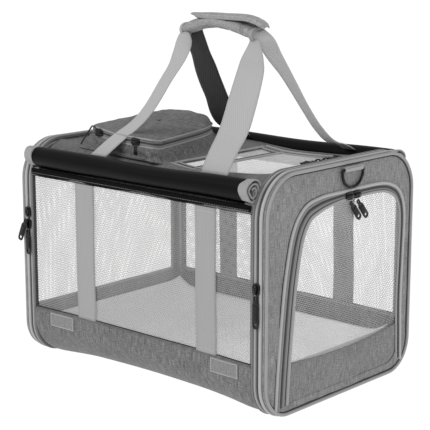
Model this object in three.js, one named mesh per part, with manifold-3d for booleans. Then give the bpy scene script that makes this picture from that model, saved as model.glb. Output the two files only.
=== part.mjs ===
// Soft-sided pet carrier bag with zip-off ends, an arched end door, a top
// door, a padded top pocket and a webbing carrying handle.
// Millimetres, +Z up, +X along the bag towards the door end, -Y to the front.
// The origin is on the floor, under the middle of the bag.
import * as THREE from 'three';
import { mergeVertices } from 'three/addons/utils/BufferGeometryUtils.js';
import Module from 'manifold-3d';

const wasm = await Module();
wasm.setup();

// ---- driving dimensions --------------------------------------------------
const WIDTH = 318; // front to back, over the end hoops
const HEIGHT = 312; // floor to the top of the end hoops
const CORNER = 57; // radius of the end profile
const GAP = 0.35; // clearance between sewn neighbours
const SKIN = 3; // thickness of the padded fabric walls
const MESH_T = 1.2; // thickness of the see-through mesh
const WEB_T = 1.6; // webbing thickness
const WEB_W = 36; // webbing width of the wall straps

const SHELL_X = 206; // half length of the fabric between the zip walls
const GUSSET_IN = SHELL_X + GAP; // the zip wall starts here
const GUSSET_OUT = 222.6; // and ends here
const PANEL_IN = 223; // end panel, inner face
const PANEL_OUT = 226; // end panel, outer face
const PIPING_OUT = 230; // end of the bag over the piping

const BAND_TOP = 69; // top of the lower fabric band
const ROLL_R = 16.8; // rolled privacy flap
const ROLL_Y = 157.2;
const ROLL_Z = 290.5;
const ROLL_X = 205;

const TOP_LO = 304; // flat top panel, lower and upper face
const TOP_HI = 307;
const TOP_Y = 103.4; // half width of the top panel
const TOP_DOOR = { x0: 45, x1: 195, y: 92, r: 26 };

const DOOR_BOTTOM = 11; // arched door, lower edge
const POCKET = { x0: -172, x1: 8, y0: -118, y1: 80, r: 46, z0: 307.4, rim: 330, top: 343 };
const POCKET_FOLD = -42; // line that the pocket lid folds back on

const GRIP_X0 = -50;
const GRIP_X1 = 79;

// ---- materials -----------------------------------------------------------
const mat = (color, roughness, metalness = 0) =>
  new THREE.MeshStandardMaterial({ color, roughness, metalness });
const HEATHER = mat(0x7d7d7d, 0.92);
const HEATHER_DARK = mat(0x6e6e6e, 0.92);
const BINDING = mat(0xbdbdbd, 0.85);
const MESH = mat(0xe2e2e2, 0.8);
const WEBBING = mat(0xb2b2b2, 0.85);
const HANDLE_WEB = mat(0xbcbcbc, 0.85);
const BLACK_CLOTH = mat(0x141414, 0.6);
const MATTING = mat(0xc2c2c2, 0.95);
const BLACK_METAL = mat(0x101010, 0.3, 0.8);
const GUNMETAL = mat(0x3a3a3a, 0.3, 1);
const PATCH = mat(0xa5a5a5, 1);
const BOARD = mat(0x202020, 0.9);
const STEEL = mat(0x8a8a8a, 0.35, 1);

const object = new THREE.Group();

function add(name, geometry, material, matrix) {
  const mesh = new THREE.Mesh(geometry, material);
  mesh.name = name;
  if (matrix) mesh.applyMatrix4(matrix);
  object.add(mesh);
  return mesh;
}

// ---- shape helpers -------------------------------------------------------
// Closed outline through corner points, each corner rounded by its own radius.
function rounded(corners, segs = 5) {
  const out = [];
  const n = corners.length;
  corners.forEach(([x, y, r], i) => {
    const [ax, ay] = corners[(i + n - 1) % n];
    const [bx, by] = corners[(i + 1) % n];
    if (!r) {
      out.push(new THREE.Vector2(x, y));
      return;
    }
    const u = new THREE.Vector2(ax - x, ay - y).normalize();
    const v = new THREE.Vector2(bx - x, by - y).normalize();
    const half = Math.acos(Math.max(-1, Math.min(1, u.dot(v)))) / 2;
    const t = r / Math.tan(half);
    const c = new THREE.Vector2(x, y).addScaledVector(u.clone().add(v).normalize(), r / Math.sin(half));
    const p0 = new THREE.Vector2(x, y).addScaledVector(u, t);
    const p1 = new THREE.Vector2(x, y).addScaledVector(v, t);
    const a0 = Math.atan2(p0.y - c.y, p0.x - c.x);
    let da = Math.atan2(p1.y - c.y, p1.x - c.x) - a0;
    while (da > Math.PI) da -= 2 * Math.PI;
    while (da < -Math.PI) da += 2 * Math.PI;
    for (let k = 0; k <= segs; k++) {
      const a = a0 + (da * k) / segs;
      out.push(new THREE.Vector2(c.x + r * Math.cos(a), c.y + r * Math.sin(a)));
    }
  });
  return out;
}
const rect = (x0, y0, x1, y1, r = 0, segs = 5) =>
  rounded([[x0, y0, r], [x1, y0, r], [x1, y1, r], [x0, y1, r]], segs);

function plate(outline, holes, depth, bevel) {
  const shape = new THREE.Shape(outline);
  holes.forEach((h) => shape.holes.push(new THREE.Path(h)));
  return new THREE.ExtrudeGeometry(shape, {
    depth: bevel ? depth - 2 * bevel : depth,
    bevelEnabled: !!bevel,
    bevelThickness: bevel || 0,
    bevelSize: bevel || 0,
    bevelOffset: bevel ? -bevel : 0,
    bevelSegments: 1,
    steps: 1,
  }).translate(0, 0, bevel || 0);
}

// Placing matrices: a plate is drawn in its own XY and extruded along its Z.
const basis = (x, y, z, at) =>
  new THREE.Matrix4()
    .makeBasis(new THREE.Vector3(...x), new THREE.Vector3(...y), new THREE.Vector3(...z))
    .setPosition(...at);
// drawn as (Y, Z), extruded along +X from x
const alongX = (x) => basis([0, 1, 0], [0, 0, 1], [1, 0, 0], [x, 0, 0]);
// drawn as (X, Z), extruded along -Y from y
const towardsFront = (y) => basis([1, 0, 0], [0, 0, 1], [0, -1, 0], [0, y, 0]);
// drawn as (X, Y), extruded along +Z from z
const up = (z) => new THREE.Matrix4().makeTranslation(0, 0, z);

// Solid through a row of closed rings that all have the same number of points.
function loft(rings) {
  const n = rings[0].length;
  const pos = [];
  const idx = [];
  rings.forEach((r) => r.forEach((p) => pos.push(...p)));
  for (let k = 0; k + 1 < rings.length; k++)
    for (let i = 0; i < n; i++) {
      const a = k * n + i;
      const b = k * n + ((i + 1) % n);
      idx.push(a, b, b + n, a, b + n, a + n);
    }
  const last = (rings.length - 1) * n;
  for (let i = 1; i + 1 < n; i++) {
    idx.push(0, i + 1, i);
    idx.push(last, last + i, last + i + 1);
  }
  const g = new THREE.BufferGeometry();
  g.setAttribute('position', new THREE.Float32BufferAttribute(pos, 3));
  g.setIndex(idx);
  // turn the faces out if the rings ran the other way round
  let vol = 0;
  const v = (i) => new THREE.Vector3(pos[3 * i], pos[3 * i + 1], pos[3 * i + 2]);
  for (let i = 0; i < idx.length; i += 3) vol += v(idx[i]).dot(v(idx[i + 1]).cross(v(idx[i + 2])));
  if (vol < 0) for (let i = 0; i < idx.length; i += 3) [idx[i], idx[i + 1]] = [idx[i + 1], idx[i]];
  g.setIndex(idx);
  g.computeVertexNormals();
  return g;
}

// Flat webbing through points p, with its width along w and its thickness along t.
function ribbon(stations, thickness) {
  return loft(
    stations.map(({ a, b, n }) => {
      const A = new THREE.Vector3(...a);
      const B = new THREE.Vector3(...b);
      const N = new THREE.Vector3(...n).normalize().multiplyScalar(thickness / 2);
      return [A.clone().add(N), B.clone().add(N), B.clone().sub(N), A.clone().sub(N)].map((q) => q.toArray());
    }),
  );
}

// Booleans.
function solidOf(geometry, matrix) {
  let g = geometry.clone();
  if (matrix) g.applyMatrix4(matrix);
  g.deleteAttribute('normal');
  g.deleteAttribute('uv');
  g = mergeVertices(g, 1e-4);
  const m = new wasm.Mesh({
    numProp: 3,
    vertProperties: new Float32Array(g.attributes.position.array),
    triVerts: new Uint32Array(g.index.array),
  });
  return new wasm.Manifold(m);
}
function geometryOf(manifold) {
  const m = manifold.getMesh();
  const g = new THREE.BufferGeometry();
  g.setAttribute('position', new THREE.BufferAttribute(new Float32Array(m.vertProperties), 3));
  g.setIndex(new THREE.BufferAttribute(new Uint32Array(m.triVerts), 1));
  g.computeVertexNormals();
  return g;
}
const block = (x0, y0, z0, x1, y1, z1) =>
  new THREE.BoxGeometry(x1 - x0, y1 - y0, z1 - z0).translate((x0 + x1) / 2, (y0 + y1) / 2, (z0 + z1) / 2);

// The end profile, set in from the outer outline by d.
const profile = (d, segs = 6) =>
  rect(-WIDTH / 2 + d, d, WIDTH / 2 - d, HEIGHT - d, CORNER - d, segs);

// ---- base ------------------------------------------------------------------
// Lower shell: one U of padded fabric, front band, floor and back band.
{
  const outer = [];
  const inner = [];
  const arc = (cx, cz, r, a0, a1, list) => {
    for (let k = 0; k <= 6; k++) {
      const a = a0 + ((a1 - a0) * k) / 6;
      list.push(new THREE.Vector2(cx + r * Math.cos(a), cz + r * Math.sin(a)));
    }
  };
  const c = WIDTH / 2 - CORNER;
  const e = 1.6; // the walls stand just inside the end hoops
  outer.push(new THREE.Vector2(-WIDTH / 2 + e, BAND_TOP));
  arc(-c, CORNER, CORNER - e, Math.PI, 1.5 * Math.PI, outer);
  arc(c, CORNER, CORNER - e, -0.5 * Math.PI, 0, outer);
  outer.push(new THREE.Vector2(WIDTH / 2 - e, BAND_TOP));
  inner.push(new THREE.Vector2(WIDTH / 2 - e - SKIN, BAND_TOP));
  arc(c, CORNER, CORNER - e - SKIN, 0, -0.5 * Math.PI, inner);
  arc(-c, CORNER, CORNER - e - SKIN, 1.5 * Math.PI, Math.PI, inner);
  inner.push(new THREE.Vector2(-WIDTH / 2 + e + SKIN, BAND_TOP));
  // the floor of the U comes down to the surface that the bag stands on
  const pts = outer.map((p) => (p.y < 1.7 ? new THREE.Vector2(p.x, 0) : p)).concat(inner);
  add('lower_shell', plate(pts, [], 2 * SHELL_X), HEATHER_DARK, alongX(-SHELL_X));
}
add('base_board', plate(rect(-200, -104, 200, 104, 12, 2), [], 4.6), BOARD, up(5));
add(
  'floor_mat',
  plate(
    [[-117, 10], [117, 10], [134, 18], [143, 27], [-143, 27], [-134, 18]].map(([y, z]) => new THREE.Vector2(y, z)),
    [],
    2 * 204,
  ),
  MATTING,
  alongX(-204),
);

// ---- side walls ------------------------------------------------------------
for (const [side, s] of [['front', -1], ['back', 1]]) {
  // upper fabric border, pressed in behind the rolled flap
  const line = [[157.4, 263.6], [155, 266.5], [136.2, 285], [121, 298.5], [111, 304], [103.8, 306.5]];
  const under = [[103.8, 303.5], [110, 301.2], [119.4, 295.8], [134.2, 282.6], [152.8, 264.6], [154.8, 263.6]];
  const pts = line.concat(under).map(([y, z]) => new THREE.Vector2(s * y, z));
  add(`upper_${side}_border`, plate(pts, [], 2 * SHELL_X), HEATHER, alongX(-SHELL_X));

  // see-through wall
  const yIn = s < 0 ? -155.4 : 155.4 + MESH_T;
  add(
    `${side}_mesh`,
    plate(rect(-205.6, BAND_TOP + GAP, 205.6, 263.2), [], MESH_T),
    MESH,
    towardsFront(yIn),
  );

  // vertical webbing straps
  const straps = s < 0 ? [['left', -99], ['right', 127]] : [['left', -111], ['right', 113]];
  for (const [hand, x] of straps) {
    add(
      `${side}_${hand}_wall_strap`,
      plate(rect(x - WEB_W / 2, BAND_TOP + GAP, x + WEB_W / 2, 263.4), [], WEB_T),
      WEBBING,
      towardsFront(s < 0 ? -156.9 : 156.9 + WEB_T),
    );
  }

  // hook-and-loop patches on the lower front band
  const patches = s < 0 ? [['left', -148], ['right', 161]] : [];
  for (const [hand, x] of patches) {
    add(
      `${side}_${hand}_patch`,
      plate(rect(x - 24, 46.5, x + 24, 67, 1.5, 1), [], 1.2),
      PATCH,
      towardsFront(s < 0 ? -157.7 : 157.7 + 1.2),
    );
  }

  // rolled privacy flap and its flat sewn strip
  const roll = new THREE.CylinderGeometry(ROLL_R, ROLL_R, 2 * ROLL_X, 20).rotateZ(Math.PI / 2);
  add(`${side}_flap_roll`, roll, BLACK_CLOTH, new THREE.Matrix4().makeTranslation(0, s * ROLL_Y, ROLL_Z));
  add(
    `${side}_flap_strip`,
    plate(rect(-205, 263.9, 205, 273.2), [], 1.6),
    BLACK_CLOTH,
    towardsFront(s < 0 ? -157.8 : 157.8 + 1.6),
  );
}

// ---- ends --------------------------------------------------------------------
// See-through window of the left end, almost as wide as the bag.
const leftWindow = (d) =>
  rounded(
    [
      [-150 + d, 64 + d, 5],
      [150 - d, 64 + d, 5],
      [150 - d, 290 - d, 44 - d],
      [-150 + d, 290 - d, 44 - d],
    ],
    5,
  );
const arch = (d) =>
  rounded(
    [
      [-126 + d, DOOR_BOTTOM + d, 16 - d],
      [134 - d, DOOR_BOTTOM + d, 28 - d],
      [134 - d, 268 - d, 50 - d],
      [-92 + d, 268 - d, 62 - d],
    ],
    6,
  );

for (const [side, s] of [['right', 1], ['left', -1]]) {
  const at = (x0, x1) => (s > 0 ? alongX(x0) : alongX(-x1));
  const window = s > 0 ? arch(0) : leftWindow(0);

  // zip wall round the end, and the spring-steel hoop behind it
  add(`${side}_gusset`, plate(profile(0), [profile(3.4)], GUSSET_OUT - GUSSET_IN), BINDING, at(GUSSET_IN, GUSSET_OUT));
  add(`${side}_frame_hoop`, plate(profile(3.9, 5), [profile(7.9, 5)], 4), STEEL, at(209, 213));

  // end panel with its opening, and the piping round its edge
  add(`${side}_end_panel`, plate(profile(0), [window], PANEL_OUT - PANEL_IN), HEATHER, at(PANEL_IN, PANEL_OUT));
  add(`${side}_end_piping`, plate(profile(0.6), [profile(6)], PIPING_OUT - PANEL_OUT - GAP, 1.2), BINDING, at(PANEL_OUT + GAP, PIPING_OUT));

  // D-ring for a shoulder strap, in its webbing tab
  const yc = s > 0 ? 14 : 0;
  const tab = solidOf(block(PANEL_OUT + GAP, yc - 19, 295, 234.4, yc + 19, 305.6)).subtract(
    solidOf(block(228.2, yc - 30, 285, 233, yc + 30, 303.4)),
  );
  const tabG = geometryOf(tab);
  if (s < 0) tabG.scale(-1, 1, 1);
  if (s < 0) {
    const ix = tabG.index.array;
    for (let i = 0; i < ix.length; i += 3) [ix[i], ix[i + 1]] = [ix[i + 1], ix[i]];
    tabG.computeVertexNormals();
  }
  add(`${side}_d_ring_tab`, tabG, WEBBING);
  const ringOuter = rounded([[yc - 24.5, 302.4, 2.2], [yc - 24.5, 274.5, 22], [yc + 24.5, 274.5, 22], [yc + 24.5, 302.4, 2.2]], 6);
  const ringInner = rounded([[yc - 20.6, 298.8, 1], [yc - 20.6, 278.4, 17.8], [yc + 20.6, 278.4, 17.8], [yc + 20.6, 298.8, 1]], 6);
  add(`${side}_d_ring`, plate(ringOuter, [ringInner], 3), GUNMETAL, s > 0 ? alongX(229.1) : alongX(-232.1));
}

// see-through field of the left end
add('left_end_mesh', plate(leftWindow(0.4), [], MESH_T), MESH, alongX(-225.1));

// arched door: bound frame with its lower fabric field, and the mesh in it
{
  const win = rounded(
    [
      [-110, 63, 3],
      [122, 62, 3],
      [122, 253, 38],
      [-76, 253, 50],
    ],
    6,
  );
  const win2 = rounded(
    [
      [-109.6, 63.4, 2.6],
      [121.6, 62.4, 2.6],
      [121.6, 252.6, 37.6],
      [-75.7, 252.6, 49.6],
    ],
    6,
  );
  add('right_door_frame', plate(arch(0.6), [win], 4), HEATHER_DARK, alongX(223));
  add('right_door_mesh', plate(win2, [], MESH_T), MESH, alongX(224.4));
}

// ---- top ---------------------------------------------------------------------
{
  const { x0, x1, y, r } = TOP_DOOR;
  const g = 0.5;
  add(
    'top_panel',
    plate(rect(-SHELL_X, -TOP_Y, SHELL_X, TOP_Y), [rect(x0 - g, -y - g, x1 + g, y + g, r, 4)], TOP_HI - TOP_LO),
    HEATHER,
    up(TOP_LO),
  );
  add(
    'top_door_frame',
    plate(rect(x0, -y, x1, y, r, 4), [rect(x0 + 11, -y + 11, x1 - 11, y - 11, r - 9, 4)], TOP_HI - TOP_LO),
    BINDING,
    up(TOP_LO),
  );
  add('top_door_mesh', plate(rect(x0 + 11.4, -y + 11.4, x1 - 11.4, y - 11.4, r - 9.4, 4), [], MESH_T), MESH, up(TOP_LO + 0.9));
}

// ---- pocket --------------------------------------------------------------------
{
  const { x0, x1, y0, y1, r, z0, rim, top } = POCKET;
  const plan = (d, segs = 5) => rect(x0 + d, y0 + d, x1 - d, y1 - d, r - d, segs);
  const crown = new THREE.ExtrudeGeometry(new THREE.Shape(plan(0)), {
    depth: 0.5,
    bevelEnabled: true,
    bevelThickness: top - rim - 1,
    bevelSize: 26,
    bevelOffset: -26,
    bevelSegments: 3,
    steps: 1,
  }).translate(0, 0, rim);
  const walls = solidOf(plate(plan(0), [], rim - z0), up(z0));
  const cavity = solidOf(plate(plan(4), [], rim - z0), up(z0 + 3));
  const roof = solidOf(crown).intersect(solidOf(block(x0 - 5, y0 - 5, rim, x1 + 5, y1 + 5, top + 10)));
  const hollow = solidOf(crown, new THREE.Matrix4().makeScale(1, 1, 1).setPosition(0, 0, -4)).intersect(
    solidOf(block(x0 - 5, y0 - 5, rim - 1, x1 + 5, y1 + 5, top + 10)),
  );
  const leftHalf = solidOf(block(x0 - 5, y0 - 5, z0 - 5, POCKET_FOLD - 0.3, y1 + 5, top + 10));
  const rightHalf = solidOf(block(POCKET_FOLD, y0 - 5, rim + 0.4, x1 + 5, y1 + 5, top + 10));
  const shell = walls.subtract(cavity).add(roof.subtract(hollow).intersect(leftHalf));
  add('pocket_body', geometryOf(shell), HEATHER);
  add('pocket_lid', geometryOf(roof.subtract(hollow).intersect(rightHalf)), HEATHER);
}

// ---- handle ----------------------------------------------------------------------
// Padded grip wrap: an oval sleeve along X, a little lower at its right end.
{
  const ring = (x, zc, a, b, n = 12) => {
    const pts = [];
    for (let k = 0; k < n; k++) {
      const t = (2 * Math.PI * k) / n;
      pts.push([x, a * Math.cos(t), zc + b * Math.sin(t)]);
    }
    return pts;
  };
  add(
    'handle_grip',
    loft([
      ring(GRIP_X0, 468.5, 11, 6),
      ring(GRIP_X0 + 8, 471.5, 15, 7.5),
      ring(-20, 478, 16, 7.6),
      ring(2, 480.8, 16, 7.6),
      ring(22, 480.4, 16, 7.6),
      ring(50, 475.5, 16, 7.6),
      ring(GRIP_X1 - 6, 468.5, 15, 7.4),
      ring(GRIP_X1, 465.5, 11, 5.6),
    ]),
    HEATHER,
  );
  // the wrap's free wing lies over the grip
  const wing = (x, y0, y1, zTop) => [
    [x, y0, zTop - 4.2],
    [x, 0.5 * (y0 + y1), zTop - 2],
    [x, y1, zTop - 4.2],
    [x, y1, zTop - 2.2],
    [x, 0.5 * (y0 + y1), zTop],
    [x, y0, zTop - 2.2],
  ];
  add(
    'handle_wing',
    loft([
      wing(-32, -14, 4, 491.2),
      wing(-18, -14, 12, 491.4),
      wing(22, -14, 12, 491.4),
      wing(56, -14, 12, 491.2),
      wing(74, -13, 12, 488.6),
      wing(88, -9, 10, 481.5),
    ]),
    HEATHER,
  );
}
// Webbing straps from the top edges up to the grip.
const strapNormalFront = [0, -0.72, 0.69];
const strapNormalBack = [0, 0.72, 0.69];
add(
  'handle_front_left_strap',
  ribbon(
    [
      { a: [-94, -140, 303], b: [-62, -140, 303], n: [0, -0.8, 0.6] },
      { a: [-84, -123, 331], b: [-53, -123, 331], n: [0, -0.78, 0.62] },
      { a: [-62, -80, 375], b: [-32, -80, 375], n: strapNormalFront },
      { a: [-56, -12, 456], b: [-30, -12, 456], n: [0, -0.8, 0.6] },
    ],
    WEB_T,
  ),
  HANDLE_WEB,
);
add(
  'handle_front_right_strap',
  ribbon(
    [
      { a: [107, -140, 303], b: [149, -140, 303], n: strapNormalFront },
      { a: [96, -80, 368], b: [138, -80, 368], n: strapNormalFront },
      { a: [79, -11, 452], b: [118, -11, 452], n: [0, -0.8, 0.6] },
    ],
    WEB_T,
  ),
  HANDLE_WEB,
);
add(
  'handle_back_left_strap',
  ribbon(
    [
      { a: [-104, 140, 303], b: [-72, 140, 303], n: strapNormalBack },
      { a: [-95, 80, 372], b: [-55, 80, 372], n: strapNormalBack },
      { a: [-68, 9, 456], b: [-28, 9, 456], n: [0, 0.8, 0.6] },
    ],
    WEB_T,
  ),
  HANDLE_WEB,
);
add(
  'handle_back_right_strap',
  ribbon(
    [
      { a: [98, 140, 303], b: [134, 140, 303], n: strapNormalBack },
      { a: [82, 80, 372], b: [112, 80, 372], n: strapNormalBack },
      { a: [82, 8, 461], b: [105, 8, 461], n: [0, 0.8, 0.6] },
    ],
    WEB_T,
  ),
  HANDLE_WEB,
);

// ---- zip sliders and pull tabs -----------------------------------------------------
// A slider is drawn upright, 11 wide and 15 long; its tab hangs from the lower end.
const sliderShape = rounded([[-3.2, -7.5, 1.5], [3.2, -7.5, 1.5], [5.5, 0, 1], [5.2, 7.5, 2], [-5.2, 7.5, 2], [-5.5, 0, 1]], 1);
const tabShape = (len) =>
  rounded(
    [
      [-2.2, 0, 0.6],
      [-2.4, -0.2 * len, 0],
      [-4.4, -0.28 * len, 0],
      [-4.8, -0.9 * len, 0],
      [-3.2, -len, 0],
      [3.2, -len, 0],
      [4.8, -0.9 * len, 0],
      [4.4, -0.28 * len, 0],
      [2.4, -0.2 * len, 0],
      [2.2, 0, 0.6],
    ],
    1,
  );

// place: matrix that turns the drawing to the wall, at the slider's middle;
// turn: angle of the slider in the wall's plane; hang: angle of its tab;
// len: length of the tab, 0 for a slider alone; lift: extra distance of the tab
// from the wall.
function zipPull(name, place, turn, hang, len, lift = 0) {
  add(`${name}_slider`, plate(sliderShape, [], 4.2, 0.8), BLACK_METAL, place.clone().multiply(new THREE.Matrix4().makeRotationZ(turn)));
  const foot = Math.abs(Math.abs(turn) - Math.PI / 2) < 0.1 ? 5.5 : 7.5;
  if (!len) return;
  add(
    `${name}_pull`,
    plate(tabShape(len), [], 2.2, 0.5),
    BLACK_METAL,
    place
      .clone()
      .multiply(new THREE.Matrix4().makeTranslation(0, -foot - 1.2 - 2.4 * Math.abs(Math.sin(hang)), 1.2 + lift))
      .multiply(new THREE.Matrix4().makeRotationZ(hang)),
  );
}
// places on the walls: drawing Z points out of the wall, and a tab hangs along drawing -Y
const onFront = (x, z, off = 159.35) => basis([1, 0, 0], [0, 0, 1], [0, -1, 0], [x, -off, z]);
const onRight = (y, z, off) => basis([0, 1, 0], [0, 0, 1], [1, 0, 0], [off, y, z]);
const onTop = (x, y, z, s) => basis([s, 0, 0], [0, s, 0], [0, 0, 1], [x, y, z]);

zipPull('right_gusset', onFront(215, 170), 0, 0, 42);
zipPull('left_gusset_upper', onFront(-215, 208), Math.PI, -0.42, 36, 3.6);
zipPull('left_gusset_lower', onFront(-215, 190.5), 0, 0, 36);
zipPull('right_door_front', onRight(10.2, 265, 227.4), -Math.PI / 2, 0.72, 34);
zipPull('right_door_back', onRight(26, 265, 227.4), Math.PI / 2, 0.72, 34);
zipPull('top_door_front', onTop(189, -7, TOP_HI + GAP, 1), 0, 0, 26);
zipPull('top_door_back', onTop(189, 9, TOP_HI + GAP, -1), 0, 0, 26);
zipPull('pocket_left', onFront(-112, 323, 118.35), Math.PI / 2, 0, 0);
zipPull('pocket_right', onFront(-34, 323, 118.35), -Math.PI / 2, 0, 12);

export default object;
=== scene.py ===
import bpy, bmesh, math
import numpy as np
from mathutils import Vector, Matrix


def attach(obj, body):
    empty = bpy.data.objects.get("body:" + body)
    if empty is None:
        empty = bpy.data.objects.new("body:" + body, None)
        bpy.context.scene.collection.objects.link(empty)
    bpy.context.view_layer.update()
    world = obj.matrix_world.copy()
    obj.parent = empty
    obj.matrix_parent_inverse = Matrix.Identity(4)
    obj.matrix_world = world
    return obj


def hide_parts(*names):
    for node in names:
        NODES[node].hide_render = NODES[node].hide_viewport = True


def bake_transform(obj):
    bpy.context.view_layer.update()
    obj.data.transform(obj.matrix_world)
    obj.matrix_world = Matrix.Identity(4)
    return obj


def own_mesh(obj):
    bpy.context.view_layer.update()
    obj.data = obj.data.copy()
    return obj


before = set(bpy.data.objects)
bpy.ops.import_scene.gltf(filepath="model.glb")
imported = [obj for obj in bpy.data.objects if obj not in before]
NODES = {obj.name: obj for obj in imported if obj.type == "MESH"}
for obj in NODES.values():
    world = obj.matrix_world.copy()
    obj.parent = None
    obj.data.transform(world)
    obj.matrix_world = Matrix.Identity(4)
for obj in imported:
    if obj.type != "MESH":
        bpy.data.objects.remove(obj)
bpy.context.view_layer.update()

MM = 0.001
TAU = 2 * math.pi

# ------------------------------------------------------------------ helpers
def arr(a):
    return np.array(a, float)

def unit(v):
    v = np.asarray(v, float)
    return v / np.maximum(np.linalg.norm(v, axis=-1, keepdims=True), 1e-9)

def wob(P, amp, scale, seed):
    """Smooth irregularity, in mm."""
    rng = np.random.RandomState(seed)
    out = 0
    for k in range(7):
        d = unit(rng.normal(size=3))
        f = TAU / (scale * rng.uniform(0.6, 1.6))
        out = out + np.sin(P @ d * f + rng.uniform(0, TAU))
    return amp * out / 7 ** 0.5

def smooth01(t):
    t = np.clip(t, 0, 1)
    return t * t * (3 - 2 * t)

def add_obj(name, V, F, mat, body, uvs=None, smooth=True, recalc=True):
    me = bpy.data.meshes.new(name)
    me.from_pydata((np.asarray(V, float) * MM).tolist(), [], [tuple(int(i) for i in f) for f in F])
    if uvs is not None:
        lay = me.uv_layers.new(name="UVMap")
        flat = np.concatenate([np.asarray(u, float).reshape(-1, 2) for u in uvs]) * MM
        lay.data.foreach_set("uv", flat.ravel())
    me.materials.append(mat)
    if recalc:
        bm = bmesh.new(); bm.from_mesh(me)
        bmesh.ops.recalc_face_normals(bm, faces=bm.faces)
        bm.to_mesh(me); bm.free()
    me.polygons.foreach_set("use_smooth", [smooth] * len(me.polygons))
    me.update()
    ob = bpy.data.objects.new(name, me)
    bpy.context.scene.collection.objects.link(ob)
    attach(ob, body)
    return ob

def lens(P, closed):
    d = np.linalg.norm(np.diff(P, axis=0), axis=1)
    L = np.concatenate([[0], np.cumsum(d)])
    if closed:
        L = np.append(L, L[-1] + np.linalg.norm(P[0] - P[-1]))
    return L

def grid(P, cu=False, cv=False, caps=False, U=None, V=None):
    """Faces and corner UVs of an (n, m, 3) grid of points."""
    n, m, _ = P.shape
    idx = np.arange(n * m).reshape(n, m)
    I, J = np.meshgrid(np.arange(n if cu else n - 1), np.arange(m if cv else m - 1), indexing="ij")
    I, J = I.ravel(), J.ravel()
    I1, J1 = (I + 1) % n, (J + 1) % m
    if U is None:
        U = lens(P[:, m // 2], cu)
    if V is None:
        V = lens(P[n // 2], cv)
    F = np.stack([idx[I, J], idx[I1, J], idx[I1, J1], idx[I, J1]], 1).tolist()
    uv = np.stack([np.stack([U[I], V[J]], 1), np.stack([U[I + 1], V[J]], 1),
                   np.stack([U[I + 1], V[J + 1]], 1), np.stack([U[I], V[J + 1]], 1)], 1)
    uvs = [u for u in uv]
    if caps and cv and not cu:
        for i in (0, n - 1):
            F.append(idx[i, :].tolist())
            uvs.append(np.stack([V[:m], np.zeros(m)], 1))
    return P.reshape(-1, 3), F, uvs

def frames(path, closed, ref):
    """Tangent, side (towards ref) and third direction at each point."""
    P = np.asarray(path, float)
    if closed:
        T = np.roll(P, -1, 0) - np.roll(P, 1, 0)
    else:
        T = np.gradient(P, axis=0)
    T = unit(T)
    R = np.broadcast_to(np.asarray(ref, float), P.shape)
    N = unit(R - (R * T).sum(1, keepdims=True) * T)
    B = np.cross(T, N)
    return T, N, B

def sweep(name, path, ref, prof, mat, body, closed=False, smooth=True, scale=None, bend=None):
    """A closed outline prof [(n, b)] moved along path; n goes towards ref."""
    P = np.asarray(path, float)
    T, N, B = frames(P, closed, ref)
    prof = arr(prof)
    s = np.ones(len(P)) if scale is None else np.asarray(scale, float)
    G = P[:, None] + s[:, None, None] * (prof[None, :, :1] * N[:, None] + prof[None, :, 1:] * B[:, None])
    if bend is not None:
        G = bend(G)
    V, F, uv = grid(G, cu=closed, cv=True, caps=not closed, U=lens(P, closed), V=lens(np.c_[prof, np.zeros(len(prof))], True))
    return add_obj(name, V, F, mat, body, uv, smooth)

def circle(r, n=10, ry=None, c=(0, 0)):
    a = np.arange(n) * TAU / n
    return np.stack([c[0] + r * np.cos(a), c[1] + (r if ry is None else ry) * np.sin(a)], 1)

def flat(w, t, n0=0.0, b0=0.0, crown=0.0):
    """Outline of a flat strip: w across (b), t thick (n), rounded edges."""
    k = np.linspace(-1, 1, 7)
    top = [(n0 + t + crown * (1 - x * x), b0 + x * w / 2) for x in k]
    return arr(top[:0] + [(n0 + t * 0.2, b0 - w / 2)] + [(n0 + t, b0 - w / 2 + min(0.8, w * .15))] + top[1:-1] +
               [(n0 + t, b0 + w / 2 - min(0.8, w * .15))] + [(n0 + t * 0.2, b0 + w / 2), (n0, b0 + w / 2 - .4), (n0, b0 - w / 2 + .4)])

def rounded(corners, seg=14):
    out = []
    n = len(corners)
    for i, (x, y, r) in enumerate(corners):
        a, b, c = arr(corners[i - 1][:2]), arr((x, y)), arr(corners[(i + 1) % n][:2])
        if not r:
            out.append(b); continue
        u, v = unit(a - b), unit(c - b)
        half = math.acos(float(np.clip(u @ v, -1, 1))) / 2
        t = r / math.tan(half)
        ctr = b + unit(u + v) * r / math.sin(half)
        p0, p1 = b + u * t - ctr, b + v * t - ctr
        a0 = math.atan2(p0[1], p0[0]); da = math.atan2(p1[1], p1[0]) - a0
        da = (da + math.pi) % TAU - math.pi
        for k in range(seg + 1):
            g = a0 + da * k / seg
            out.append(ctr + r * arr((math.cos(g), math.sin(g))))
    return arr(out)

def resample(P, step=None, closed=True, count=None):
    P = np.asarray(P, float)
    L = lens(P, closed)
    Q = np.vstack([P, P[:1]]) if closed else P
    keep = np.concatenate([[True], np.diff(L) > 1e-9])
    L, Q = L[keep], Q[keep]
    n = count or max(8, int(round(L[-1] / step)))
    s = np.linspace(0, L[-1], n, endpoint=not closed)
    return np.stack([np.interp(s, L, Q[:, k]) for k in range(Q.shape[1])], 1)

def spline(pts, n):
    """Catmull-Rom through the points, any number of columns."""
    P = arr(pts)
    P = np.vstack([2 * P[0] - P[1], P, 2 * P[-1] - P[-2]])
    t = np.linspace(0, len(P) - 3 - 1e-9, n)
    i = t.astype(int); f = (t - i)[:, None]
    a, b, c, d = P[i], P[i + 1], P[i + 2], P[i + 3]
    return 0.5 * (2 * b + (c - a) * f + (2 * a - 5 * b + 4 * c - d) * f ** 2 + (3 * b - a - 3 * c + d) * f ** 3)

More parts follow.
